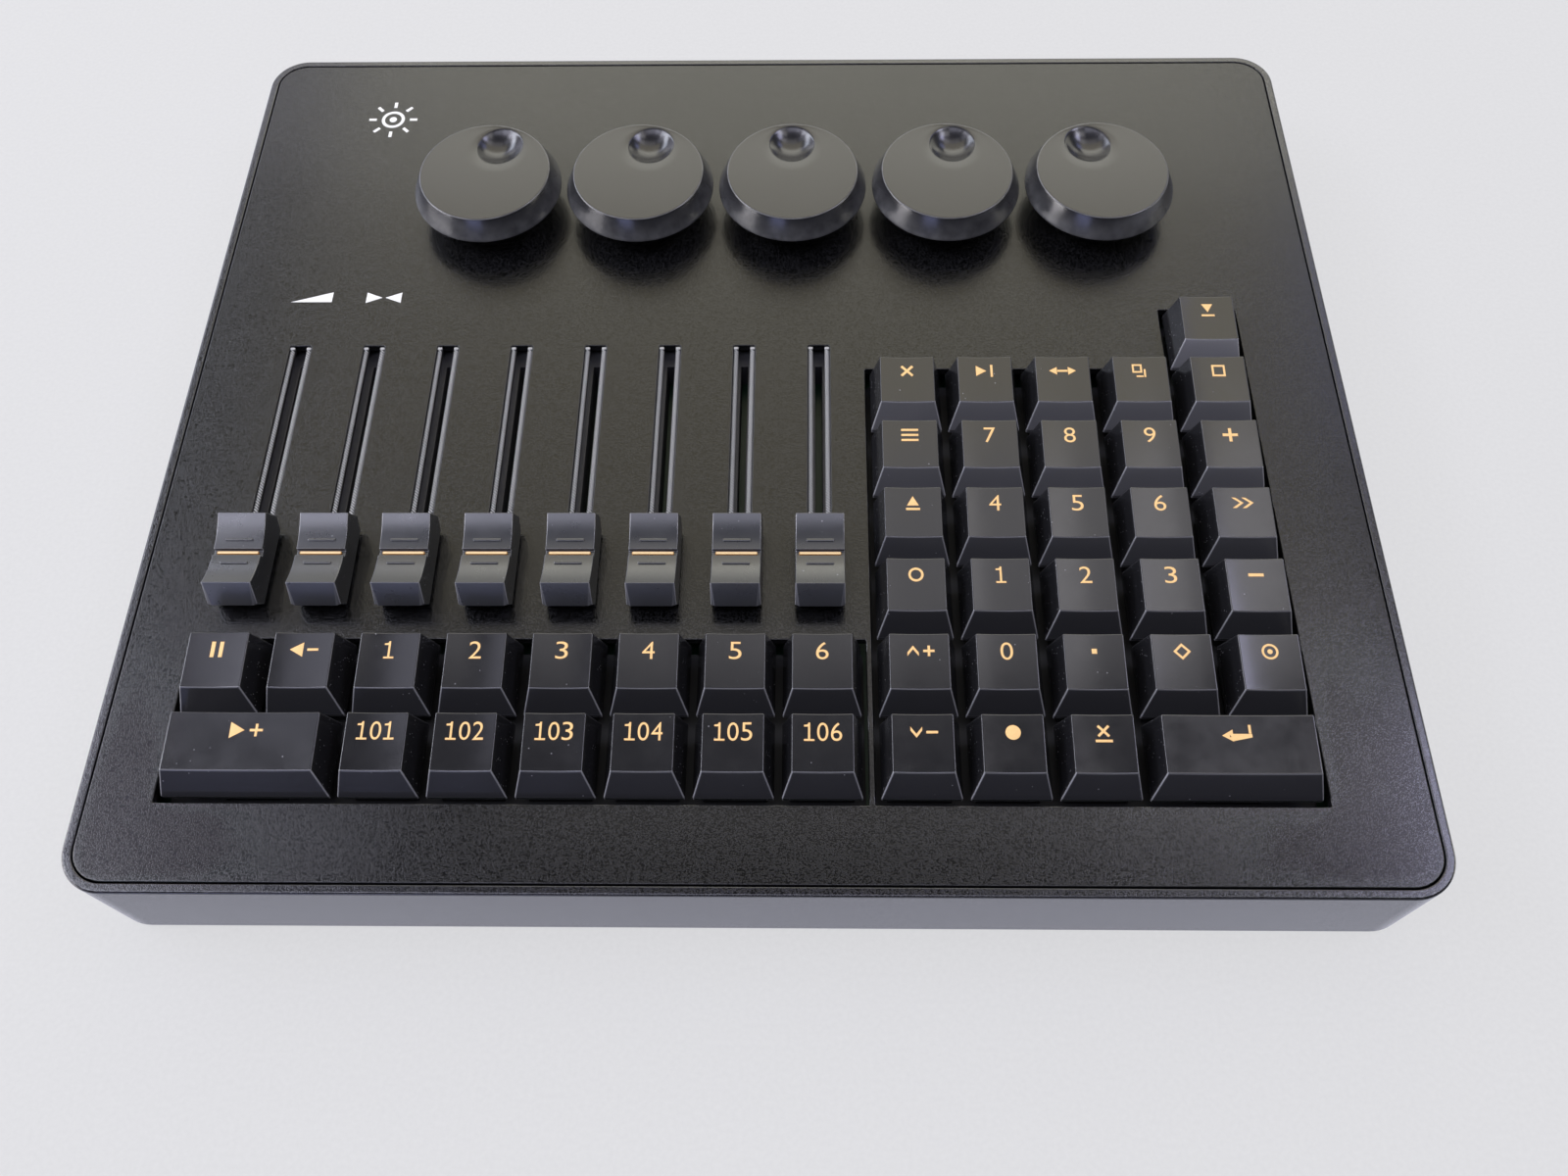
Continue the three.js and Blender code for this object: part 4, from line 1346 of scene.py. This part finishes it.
def block_outlines(margin):
    """Outlines round the two key blocks, with the right one's extra cell, moved out by a margin."""
    split = min(KEYS["delete_key"][0], KEYS["page_down_key"][0])
    left = [key for key in KEYS.values() if key[0] < split]
    right = [key for key in KEYS.values() if key not in left]
    outlines = []
    for keys in (left, right):
        low_x = min(x for x, _, _ in keys) - margin
        high_x = max(x + cells * KEY_PITCH for x, _, cells in keys) + margin
        low_y = min(y for _, y, _ in keys) - margin
        main = [y for x, y, _ in keys if x < high_x - 1.5 * KEY_PITCH]
        high_y = max(main) + KEY_PITCH + margin
        outline = rectangle(low_x, high_x, low_y, high_y)
        top = max(y for _, y, _ in keys) + KEY_PITCH + margin
        if top > high_y + KEY_PITCH / 2:
            step = high_x - KEY_PITCH - 2 * margin
            corners = [(high_x, top), (step, top), (step, high_y), (low_x, high_y)]
            outline = outline[:2] + [Vector(corner) for corner in corners]
        outlines.append(outline)
    return outlines


def build_switches():
    switches, stabilisers = key_middles()
    groups = [
        ("key_switches", switches, (SWITCH_WIDTH, SWITCH_TOP_WIDTH, SWITCH_TOP_DEPTH)),
        ("key_stabilisers", stabilisers, (STABILISER_WIDTH, STABILISER_WIDTH, STABILISER_WIDTH)),
    ]
    for name, places, widths in groups:
        fittings(name, housing_shape(*widths), places, SWITCH_PLASTIC)
    high = PANEL_TOP - KEY_PLATE_TOP
    low = high - KEY_PLATE_THICKNESS
    for name, outline in zip(("left_key_plate", "right_key_plate"), block_outlines(0)):
        low_x = min(corner.x for corner in outline)
        high_x = max(corner.x for corner in outline)
        holes = []
        for _, places, (width, _, _) in groups:
            holes += [centred(width, width, p.x, p.y) for p in places if low_x < p.x < high_x]
        plate = sheet(outline, holes, low, high, PLATE_EDGE, PLATE_HOLE_CORNER, PLATE_CORNER)
        fitting(name, plate, STEEL)


def build_boards():
    """The main board with the posts that hold it under the panel, and the panel's own posts."""
    left, right = block_outlines(BOARD_MARGIN)
    low_x = min(corner.x for corner in left)
    high_x = max(corner.x for corner in right)
    low_y = min(corner.y for corner in left)
    high_y = max(corner.y for corner in right)
    top = PANEL_TOP - BOARD_TOP
    board("main_board", rectangle(low_x, high_x, low_y, high_y), top)
    inset = BOARD_POST_INSET
    xs = (low_x + inset, (low_x + high_x) / 2, high_x - inset)
    places = [Vector((x, y, top)) for x in xs for y in (low_y + inset, high_y - inset)]
    post = drum_shape([(BOARD_POST_RADIUS, 0), (BOARD_POST_RADIUS, PANEL_BOTTOM - top)], POST_SIDES)
    fittings("board_posts", post, places, NICKEL)
    bottom = FLOOR_TOP + POST_GAP
    bore = [(PILOT_RADIUS, SCREW_LENGTH), (PILOT_RADIUS, 0)]
    side = [(POST_RADIUS, 0), (POST_RADIUS, PANEL_BOTTOM - bottom)]
    fittings("panel_posts", drum_shape(bore + side, POST_SIDES), post_places(bottom), NICKEL)


# Panel

FADERS = ["master_fader", "crossfade_fader"] + [f"fader_{number}" for number in range(1, 7)]
KNOBS = [f"encoder_knob_{number}" for number in range(1, 6)]


def on_panel(node, back=0.0):
    """A place over a node's middle or some way behind it, at the panel's top face."""
    low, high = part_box(node)
    middle = (low + high) / 2
    return Vector((middle.x, middle.y + back, PANEL_TOP))


def slot_middle(node):
    return on_panel(node, FADER_TRAVEL / 2)


def build_panel():
    slots = [slot_middle(node) for node in FADERS]
    holes = block_outlines(CUTOUT_MARGIN)
    holes += [centred(SLOT_WIDTH, SLOT_LENGTH, place.x, place.y) for place in slots]
    outer = case_outline(CASE_WALL + PANEL_GAP)
    corner = OPENING_CORNER - PANEL_GAP
    panel = sheet(outer, holes, PANEL_BOTTOM, PANEL_TOP, PANEL_EDGE, CUTOUT_CORNER, corner)
    piece("top_panel_sheet", panel, PANEL_COAT, CASE_BODY, ["top_panel"])


def build_print():
    """White marks behind the first two slots, and a plain lamp mark near the rear left corner."""
    wedge = [[(-1.3, -0.35), (1.3, -0.35), (1.3, 0.45)]]
    fade = [[(-1.1, -0.42), (-0.08, 0), (-1.1, 0.42)], [(1.1, -0.42), (1.1, 0.42), (0.08, 0)]]
    rays = [turned(bar(0.72, -0.07, 1.05, 0.07), 0, 0, 45 * k) for k in range(8)]
    lamp = [*ring_mark(0, 0, 0.5, 0.36), circle_mark(0, 0, 0.16), *rays]
    first, second = (slot_middle(node).x for node in FADERS[:2])
    slot_mark_y = slot_middle(FADERS[0]).y + SLOT_LENGTH / 2 + SLOT_MARK_GAP
    prints = [
        ("master_print", wedge, first, slot_mark_y, SLOT_MARK_SIZE),
        ("crossfade_print", fade, second, slot_mark_y, SLOT_MARK_SIZE),
        ("lamp_print", lamp, LAMP_MARK_X, LAMP_MARK_Y, LAMP_MARK_SIZE),
    ]
    for name, outlines, x, y, scale in prints:
        bm = finished_mark(plain_curve(outlines), MARK_RIM / scale, scale)
        mark = moved(mesh_of(bm), Vector((x, y, PANEL_TOP - MARK_SINK)))
        piece(name, mark, PANEL_PRINT, CASE_BODY)


# Faders

def build_slots():
    """The ribbed strips that line each slot, with their end tabs, and the tracks below."""
    strip_x = SLOT_WIDTH / 2 - STRIP_WIDTH / 2
    length = SLOT_LENGTH - STRIP_PLAY
    ribs = {
        "Length": length - RIB_PITCH,
        "Pitch": RIB_PITCH,
        "Rib Width": RIB_WIDTH,
        "Rib Length": STRIP_WIDTH / math.cos(RIB_SLANT),
        "Rib Height": 2 * RIB_HEIGHT,
        "Slant": RIB_SLANT,
        "Finish": STRIP_GREY,
    }
    top = PANEL_TOP - STRIP_DROP - RIB_HEIGHT
    slit_length = FADER_TRAVEL + LEVER_WIDTH + 2 * SOCKET_GAP
    for node in FADERS:
        slot = slot_middle(node)
        front = slot.y - length / 2
        base = bmesh.new()
        tabs = bmesh.new()
        starts = []
        for side in (-1, 1):
            x = slot.x + side * strip_x
            starts.append(Vector((x, front + RIB_PITCH, top)))
            low = Vector((x - STRIP_WIDTH / 2 + STRIP_SIDE_GAP, front, top - STRIP_DEPTH))
            high = Vector((x + STRIP_WIDTH / 2 - STRIP_SIDE_GAP, front + length, top))
            block(base, low, high, STRIP_EDGE, STRIP_EDGE, 2)
            low = Vector((low.x, front + length - TAB_FRONT, top))
            high = Vector((high.x, front + length - TAB_BACK, PANEL_TOP - STRIP_DROP / 2))
            block(tabs, low, high, TAB_CORNER, TAB_EDGE, 2)
        piece(f"{node}_strip_base", mesh_of(base), STRIP_BASE, CASE_BODY)
        piece(f"{node}_strip_tabs", mesh_of(tabs), STRIP_GREY, CASE_BODY)
        grown = grow(RIBS, points_mesh(starts), ribs)
        piece(f"{node}_strip_ribs", grown, STRIP_GREY, CASE_BODY)
        outer = centred(TRACK_WIDTH, SLOT_LENGTH + 2 * TRACK_END, slot.x, slot.y)
        slit = centred(TRACK_SLIT, slit_length, slot.x, slot.y)
        low = PANEL_TOP - BOARD_TOP
        high = PANEL_TOP - TRACK_TOP
        track = sheet(outer, [slit], low, high, TRACK_EDGE, TRACK_EDGE, TRACK_CORNER)
        fitting(f"{node}_track", track, TRACK_GREY)


def saddle(y):
    return CAP_VALLEY_RISE + (CAP_PEAK_RISE - CAP_VALLEY_RISE) * (y / CAP_PEAK) ** 2


def cap_profile():
    """The fader cap's side outline, seen along X: height over the panel against Y, anticlockwise."""
    groove = GROOVE_WIDTH / 2
    half = [
        (CAP_FOOT / 2, CAP_BOTTOM),
        (CAP_LENGTH / 2, CAP_SHOULDER),
        (CAP_PEAK, CAP_PEAK_RISE),
        (groove, saddle(groove)),
        (groove, CAP_VALLEY_RISE - GROOVE_DEPTH),
    ]
    return [Vector(corner) for corner in half + [(-y, z) for y, z in reversed(half)]]


def sag(y):
    """How far the saddle lies below a straight line from the groove to the peak."""
    groove = GROOVE_WIDTH / 2
    reach = min(max(abs(y), groove), CAP_PEAK)
    share = (reach - groove) / (CAP_PEAK - groove)
    return saddle(groove) + (CAP_PEAK_RISE - saddle(groove)) * share - saddle(reach)


def cap_hollow():
    """What is cut out of a fader cap from below."""
    foot = CAP_FOOT / 2 - CAP_WALL
    shoulder = CAP_LENGTH / 2 - CAP_WALL
    peak = CAP_PEAK - CAP_WALL
    roof = CAP_PEAK_RISE - CAP_WALL - CAP_ROOF_EXTRA
    inside = [
        (-foot, CAP_BOTTOM - OVERRUN),
        (foot, CAP_BOTTOM - OVERRUN),
        (foot, CAP_BOTTOM),
        (shoulder, CAP_SHOULDER),
        (peak, roof),
        (0, CAP_VALLEY_RISE - GROOVE_DEPTH - GROOVE_FLOOR),
        (-peak, roof),
        (-shoulder, CAP_SHOULDER),
        (-foot, CAP_BOTTOM),
    ]
    half = CAP_WIDTH / 2 - CAP_WALL
    bm = bmesh.new()
    loft(bm, [[Vector((x, y, z)) for y, z in inside] for x in (-half, half)])
    return mesh_of(bm)


def cap_shape():
    """A hollow fader cap with two grip lines and a hub that takes its lever.

    It is made round the lever's middle at the panel's top face."""
    profile = cap_profile()
    splits = [1, 1, CAP_SPLITS, 1, 1, 1, CAP_SPLITS, 1, 1, 1]
    half = CAP_WIDTH / 2

    def section(x, offset, inner):
        """The outline at one place across the cap, drawn in at the shoulders for small facets."""
        points = []
        for point in rounded(profile, CAP_CORNER, offset, CAP_ARC_STEPS, SUPPORT / 2, splits):
            near = abs(point.y - CAP_SHOULDER) < CAP_FACET_REACH
            shoulder = abs(point.x) > CAP_PEAK and near
            aside = CAP_FACET.x if shoulder and inner else 0
            back = CAP_FACET.y if shoulder and not inner else 0
            y = point.x - math.copysign(back, point.x)
            points.append(Vector((x - math.copysign(aside, x), y, point.y - sag(point.x))))
        return points

    stations = [(half, -CAP_EDGE - SUPPORT, False)]
    stations += [(half - drop, -inset, False) for inset, drop in reversed(fillet(CAP_EDGE))]
    stations += [(half - CAP_EDGE - share * SUPPORT, 0, True) for share in (1, 2)]
    mirrored = [(-x, offset, inner) for x, offset, inner in stations]
    bm = bmesh.new()
    loft(bm, [section(*station) for station in mirrored + stations[::-1]])
    for vert in bm.verts:
        vert.co.x *= 1 - CAP_DRAFT_SHARE * (vert.co.z - CAP_BOTTOM) / (CAP_PEAK_RISE - CAP_BOTTOM)
    hollow = cut(mesh_of(bm), cap_hollow())
    bm = bmesh.new()
    bm.from_mesh(hollow)
    for y in (-GRIP_OFFSET, GRIP_OFFSET):
        low = Vector((-GRIP_LENGTH / 2, y - GRIP_WIDTH / 2, saddle(y) - GRIP_SINK))
        high = Vector((GRIP_LENGTH / 2, y + GRIP_WIDTH / 2, saddle(y) + GRIP_RISE))
        block(bm, low, high, GRIP_CORNER, GRIP_EDGE, 2)
    reach = LEVER_WIDTH / 2 + HUB_WALL
    low = Vector((-reach / 2 - HUB_SIDE, -reach, CAP_BOTTOM))
    high = Vector((reach / 2 + HUB_SIDE, reach, CAP_VALLEY_RISE - GROOVE_DEPTH - HUB_DROP))
    block(bm, low, high, HUB_CORNER, HUB_EDGE, 1)
    return mesh_of(bm)


def index_shape():
    """The painted line that stands in a cap's groove, with an attribute that is one on its rim."""
    high = CAP_VALLEY_RISE - INDEX_DROP
    levels = [(0, CAP_VALLEY_RISE - GROOVE_DEPTH - INDEX_SINK)]
    levels += [(-inset * MM, high - drop * MM) for inset, drop in INDEX_ROUND]
    outline = centred(INDEX_LENGTH, INDEX_WIDTH)
    bm = bmesh.new()
    rim = bm.verts.layers.float.new("rim")
    rings = [at_height(rounded(outline, INDEX_CORNER, offset, 2), z) for offset, z in levels]
    for row in loft(bm, rings)[:-1]:
        for vert in row:
            vert[rim] = 1.0
    return mesh_of(bm)


def build_faders():
    cap = cap_shape()
    index = index_shape()
    half = Vector((LEVER_THICKNESS / 2, LEVER_WIDTH / 2))
    low = Vector((-half.x, -half.y, -LEVER_BOTTOM))
    high = Vector((half.x, half.y, CAP_BOTTOM + LEVER_RISE))
    lever = block_shape(low, high, LEVER_EDGE, LEVER_EDGE, 2)
    for node in FADERS:
        place = on_panel(node)
        piece(f"{node}_cap", moved(cap, place), CAP_PLASTIC, node, [node])
        piece(f"{node}_index", moved(index, place), INDEX_CREAM, node)
        piece(f"{node}_lever", moved(lever, place), STEEL, node, replaces=[node])


# Knobs

def knob_shape():
    """A turned knob with a soft finger dimple, from its axis at the panel's top face."""
    bowl = (DIMPLE_RADIUS ** 2 + DIMPLE_DEPTH ** 2) / (2 * DIMPLE_DEPTH)
    bowl_middle = KNOB_RISE - DIMPLE_DEPTH + bowl

    def dimple_height(radius):
        """A ball's hollow whose rim turns softly into the flat top."""
        inside = bowl_middle - math.sqrt(max(bowl ** 2 - radius ** 2, 0))
        gap = KNOB_RISE - inside
        soft = DIMPLE_LIP * DIMPLE_DEPTH / DIMPLE_RADIUS
        return KNOB_RISE - (gap + math.sqrt(gap ** 2 + soft ** 2)) / 2

    rim = KNOB_TOP_RADIUS - KNOB_EDGE - SUPPORT
    last = rim - DIMPLE_OFFSET - KNOB_SOFT
    stops = [share * last for share in DIMPLE_STOPS]
    rings = [(radius, DIMPLE_OFFSET, dimple_height(radius)) for radius in stops]
    sunk = KNOB_RISE - rings[-1][2]
    for share in KNOB_FLAT_STOPS:
        radius = last + share * (rim - last)
        rings.append((radius, DIMPLE_OFFSET * (1 - share), KNOB_RISE - sunk * (1 - share)))
    lower = KNOB_SKIRT_RISE
    skirt = Vector((KNOB_SKIRT_RADIUS, lower + KNOB_SKIRT_EDGE))
    down = (skirt - Vector((KNOB_TOP_RADIUS, KNOB_RISE))).normalized()
    turn = math.atan2(-down.y, down.x)
    reach = KNOB_EDGE * math.tan(turn / 2)
    for k in range(KNOB_EDGE_STEPS + 1):
        angle = turn * k / KNOB_EDGE_STEPS
        radius = KNOB_TOP_RADIUS - reach + KNOB_EDGE * math.sin(angle)
        rings.append((radius, 0, KNOB_RISE - KNOB_EDGE * (1 - math.cos(angle))))
    start = Vector((KNOB_TOP_RADIUS, KNOB_RISE)) + down * (reach + SUPPORT)
    end = skirt - down * KNOB_SOFT
    roof = KNOB_RISE - KNOB_ROOF
    profile = [
        start,
        end,
        (KNOB_SKIRT_RADIUS, lower + KNOB_SKIRT_EDGE - KNOB_SOFT),
        (KNOB_SKIRT_RADIUS, lower + KNOB_SOFT),
        (KNOB_SKIRT_RADIUS - KNOB_SOFT, lower),
        (KNOB_SKIRT_RADIUS - KNOB_SKIRT_WALL, lower),
        (KNOB_TOP_RADIUS - KNOB_SKIRT_WALL, roof),
        (KNOB_HUB_RADIUS, roof),
        (KNOB_HUB_RADIUS, KNOB_HUB_RISE),
        (SHAFT_RADIUS, KNOB_HUB_RISE),
        (SHAFT_RADIUS, -SHAFT_BOTTOM),
    ]
    rings += [(radius, 0, z) for radius, z in profile]
    bm = bmesh.new()
    rows = loft(bm, [circle(radius, KNOB_SIDES, z, 0, y) for radius, y, z in rings])
    for row in rows[:len(DIMPLE_STOPS)]:
        for vert in row:
            vert.co.x *= DIMPLE_WIDTH_SHARE
    return mesh_of(bm)


def encoder_shapes():
    """The threaded bush and the hexagon nut over the panel, and the body under it."""
    root = BUSH_RADIUS - THREAD_DEPTH
    bore = SHAFT_RADIUS + SOCKET_GAP
    profile = [(bore, 0), (root, 0)]
    for turn in range(round(BUSH_RISE / THREAD_PITCH)):
        low = turn * THREAD_PITCH
        profile.append((root, low + THREAD_LAND_SHARE * THREAD_PITCH))
        profile.append((BUSH_RADIUS, low + THREAD_PITCH / 2))
    profile += [(root, BUSH_RISE), (bore, BUSH_RISE)]
    rings = [circle(radius, THREAD_SIDES, z) for radius, z in profile]
    bush = bmesh.new()
    loft(bush, [*rings, rings[0]], False, False)
    bmesh.ops.remove_doubles(bush, verts=bush.verts, dist=THREAD_WELD)
    chamfer = NUT_CHAMFER
    stages = [(-chamfer, 0), (0, chamfer), (0, NUT_HEIGHT - chamfer), (-chamfer, NUT_HEIGHT)]
    nut = drum_shape([(NUT_RADIUS + inset, z) for inset, z in stages], NUT_SIDES)
    hole = [(BUSH_RADIUS, -OVERRUN), (BUSH_RADIUS, NUT_HEIGHT + OVERRUN)]
    half = ENCODER_WIDTH / 2
    low = Vector((-half, -half, -PANEL_THICKNESS - ENCODER_HEIGHT))
    high = Vector((half, half, -PANEL_THICKNESS))
    body = block_shape(low, high, ENCODER_CORNER, ENCODER_EDGE)
    return mesh_of(bush), cut(nut, drum_shape(hole, THREAD_SIDES)), body


def build_knobs():
    shape = knob_shape()
    places = [on_panel(node) for node in KNOBS]
    for node, place, degrees in zip(KNOBS, places, DIMPLE_TURNS):
        knob = moved(shape, place, math.radians(degrees))
        piece(f"{node}_cap", knob, KNOB_SATIN, node, [node])
    names = ("encoder_bushes", "encoder_nuts", "encoder_bodies")
    for name, mesh, finish in zip(names, encoder_shapes(), (NICKEL, NICKEL, SWITCH_PLASTIC)):
        fittings(name, mesh, places, finish)
    width = places[-1].x - places[0].x + 2 * ENCODER_BOARD_MARGIN
    middle = (places[0].x + places[-1].x) / 2
    outline = centred(width, ENCODER_BOARD_WIDTH, middle, places[0].y)
    board("encoder_board", outline, PANEL_TOP - PANEL_THICKNESS - ENCODER_HEIGHT)


# Light and view

def softbox(name, place, target, width, height, radiance, colour):
    """A rectangular lamp of even brightness that faces a target."""
    lamp = bpy.data.lights.new(name, "AREA")
    lamp.shape = "RECTANGLE"
    lamp.size = width
    lamp.size_y = height
    lamp.energy = radiance * math.pi * width * height
    lamp.color = colour
    made = placed(lamp, name)
    made.location = place
    made.rotation_euler = (Vector(target) - Vector(place)).to_track_quat("-Z", "Y").to_euler()


def ceiling_box(name, left, right, front, back, radiance, colour):
    """A lamp that lies flat in a ceiling one metre up, between two places each way."""
    x = (left + right) / 2
    y = (front + back) / 2
    softbox(name, (x, y, CEILING), (x, y, 0), right - left, back - front, radiance, colour)


def wall_box(name, x, y, height, width, tall, radiance, colour):
    """An upright lamp at some height, which faces the point as high over the middle."""
    softbox(name, (x, y, height), (0, 0, height), width, tall, radiance, colour)


def light_studio():
    white = (1.0, 0.97, 1.0)
    warm = (1.0, 0.98, 0.86)
    amber = (1.0, 0.92, 0.7)
    cool = (0.82, 0.82, 1.0)
    pale = (0.86, 0.86, 1.0)
    blue = (0.5, 0.55, 1.0)
    ceiling_box("left_wide", -1.5, -0.95, -0.2, 0.65, 11.5, (0.86, 0.88, 1.0))
    ceiling_box("left_wide_back", -1.5, -0.95, 0.65, 1.4, 7.2, (0.8, 0.85, 1.0))
    ceiling_box("left_front", -0.95, -0.3, -0.45, -0.15, 4.8, cool)
    ceiling_box("left_lamp", -0.95, -0.62, -0.1, 0.1, 9.6, pale)
    ceiling_box("left_near", -0.9, -0.4, 0.15, 0.4, 1.2, cool)
    ceiling_box("middle_front", -0.3, 0.3, -0.65, -0.2, 2.5, cool)
    ceiling_box("middle_near", -0.3, 0.3, 0.2, 0.45, 1.0, white)
    ceiling_box("middle_back", -0.62, 0.62, 0.45, 0.7, 1.3, amber)
    ceiling_box("middle_rear", -0.62, 0.62, 0.7, 1.05, 1.3, amber)
    ceiling_box("far_middle", -0.62, 0.75, 1.05, 1.6, 3.2, warm)
    ceiling_box("far_left", -1.2, -0.62, 1.1, 1.6, 1.8, cool)
    ceiling_box("far_rear", -0.8, 0.8, 1.6, 2.4, 1.4, warm)
    ceiling_box("right_near", 0.3, 0.62, 0.2, 0.45, 2.0, white)
    ceiling_box("right_front", 0.3, 0.62, -0.2, 0.05, 2.3, white)
    ceiling_box("right_lamp", 0.62, 0.95, -0.1, 0.1, 10.5, pale)
    ceiling_box("right_middle", 0.62, 0.95, 0.1, 0.35, 9.0, (0.7, 0.7, 1.0))
    ceiling_box("right_back", 0.62, 0.95, 0.65, 1.1, 2.5, blue)
    wall_box("rear_wall", 0.0, 1.75, 0.5, 3.0, 0.9, 0.8, warm)
    wall_box("left_wall", -1.6, 1.2, 0.45, 1.6, 0.8, 1.2, cool)
    wall_box("right_wall", 1.6, 1.2, 0.45, 1.6, 0.8, 1.2, warm)
    wall_box("left_low", -1.28, -0.25, 0.19, 1.0, 0.36, 9.0, white)
    wall_box("front_low", -0.5, -1.2, 0.19, 0.5, 0.36, 2.5, blue)
    wall_box("right_low", 1.3, 0.0, 0.19, 0.5, 0.36, 4.5, warm)
    world = bpy.data.worlds.new("studio")
    world.use_nodes = True
    bpy.context.scene.world = world
    graph = Graph(world.node_tree)
    seen = graph.add("ShaderNodeLightPath", output="Is Camera Ray")
    sockets = {"Color": tint(0.94, 0.95, 1.0), "Strength": AMBIENT}
    ambient = graph.add("ShaderNodeBackground", sockets=sockets)
    sockets = {"Color": tint(0.74, 0.74, 0.755), "Strength": 1.0}
    backdrop = graph.add("ShaderNodeBackground", sockets=sockets)
    shader = graph.add("ShaderNodeMixShader", sockets={0: seen, 1: ambient, 2: backdrop})
    graph.add("ShaderNodeOutputWorld", sockets={"Surface": shader})


def studio_floor():
    """A pale, faintly mottled table top, which the camera sees mostly in its own plain shade.

    In the object's gloss it shows as one plain shade."""
    finish = Finish("pale_table")
    base = finish.blend(finish.noise(900), tint(0.70, 0.70, 0.715), tint(0.76, 0.76, 0.775))
    sockets = {"Base Color": base, "Roughness": 0.7}
    lit = finish.add("ShaderNodeBsdfPrincipled", sockets=sockets)
    seen = finish.add("ShaderNodeLightPath", output="Is Camera Ray")
    mirrored = finish.add("ShaderNodeLightPath", output="Is Glossy Ray")
    shade = finish.blend(mirrored, base, tint(0.73, 0.74, 0.86))
    plain = finish.add("ShaderNodeEmission", sockets={"Color": shade, "Strength": 1.0})
    share = TABLE_PLAIN_SHARE * seen + mirrored
    shader = finish.add("ShaderNodeMixShader", sockets={0: share, 1: lit, 2: plain})
    outline = rounded(centred(TABLE_SIDE, TABLE_SIDE), TABLE_CORNER, steps=TABLE_ARC_STEPS)
    bm = bmesh.new()
    loft(bm, [at_height(outline, z) for z in (-TABLE_THICKNESS, 0.0)])
    mesh = mesh_of(bm, "table")
    mesh.materials.append(finish.output(shader))
    placed(mesh, "table")


def place_camera():
    camera = bpy.data.cameras.new("view")
    camera.lens = CAMERA_LENS
    camera.sensor_width = CAMERA_SENSOR
    camera.clip_start = CAMERA_NEAR
    made = placed(camera, "view")
    made.location = CAMERA_PLACE
    made.rotation_euler = CAMERA_TURN
    bpy.context.scene.camera = made


place_camera()
light_studio()
studio_floor()
build_case()
build_socket()
build_panel()
build_print()
build_slots()
build_switches()
build_boards()
build_keys()
build_faders()
build_knobs()
bpy.context.scene.view_settings.view_transform = "Standard"
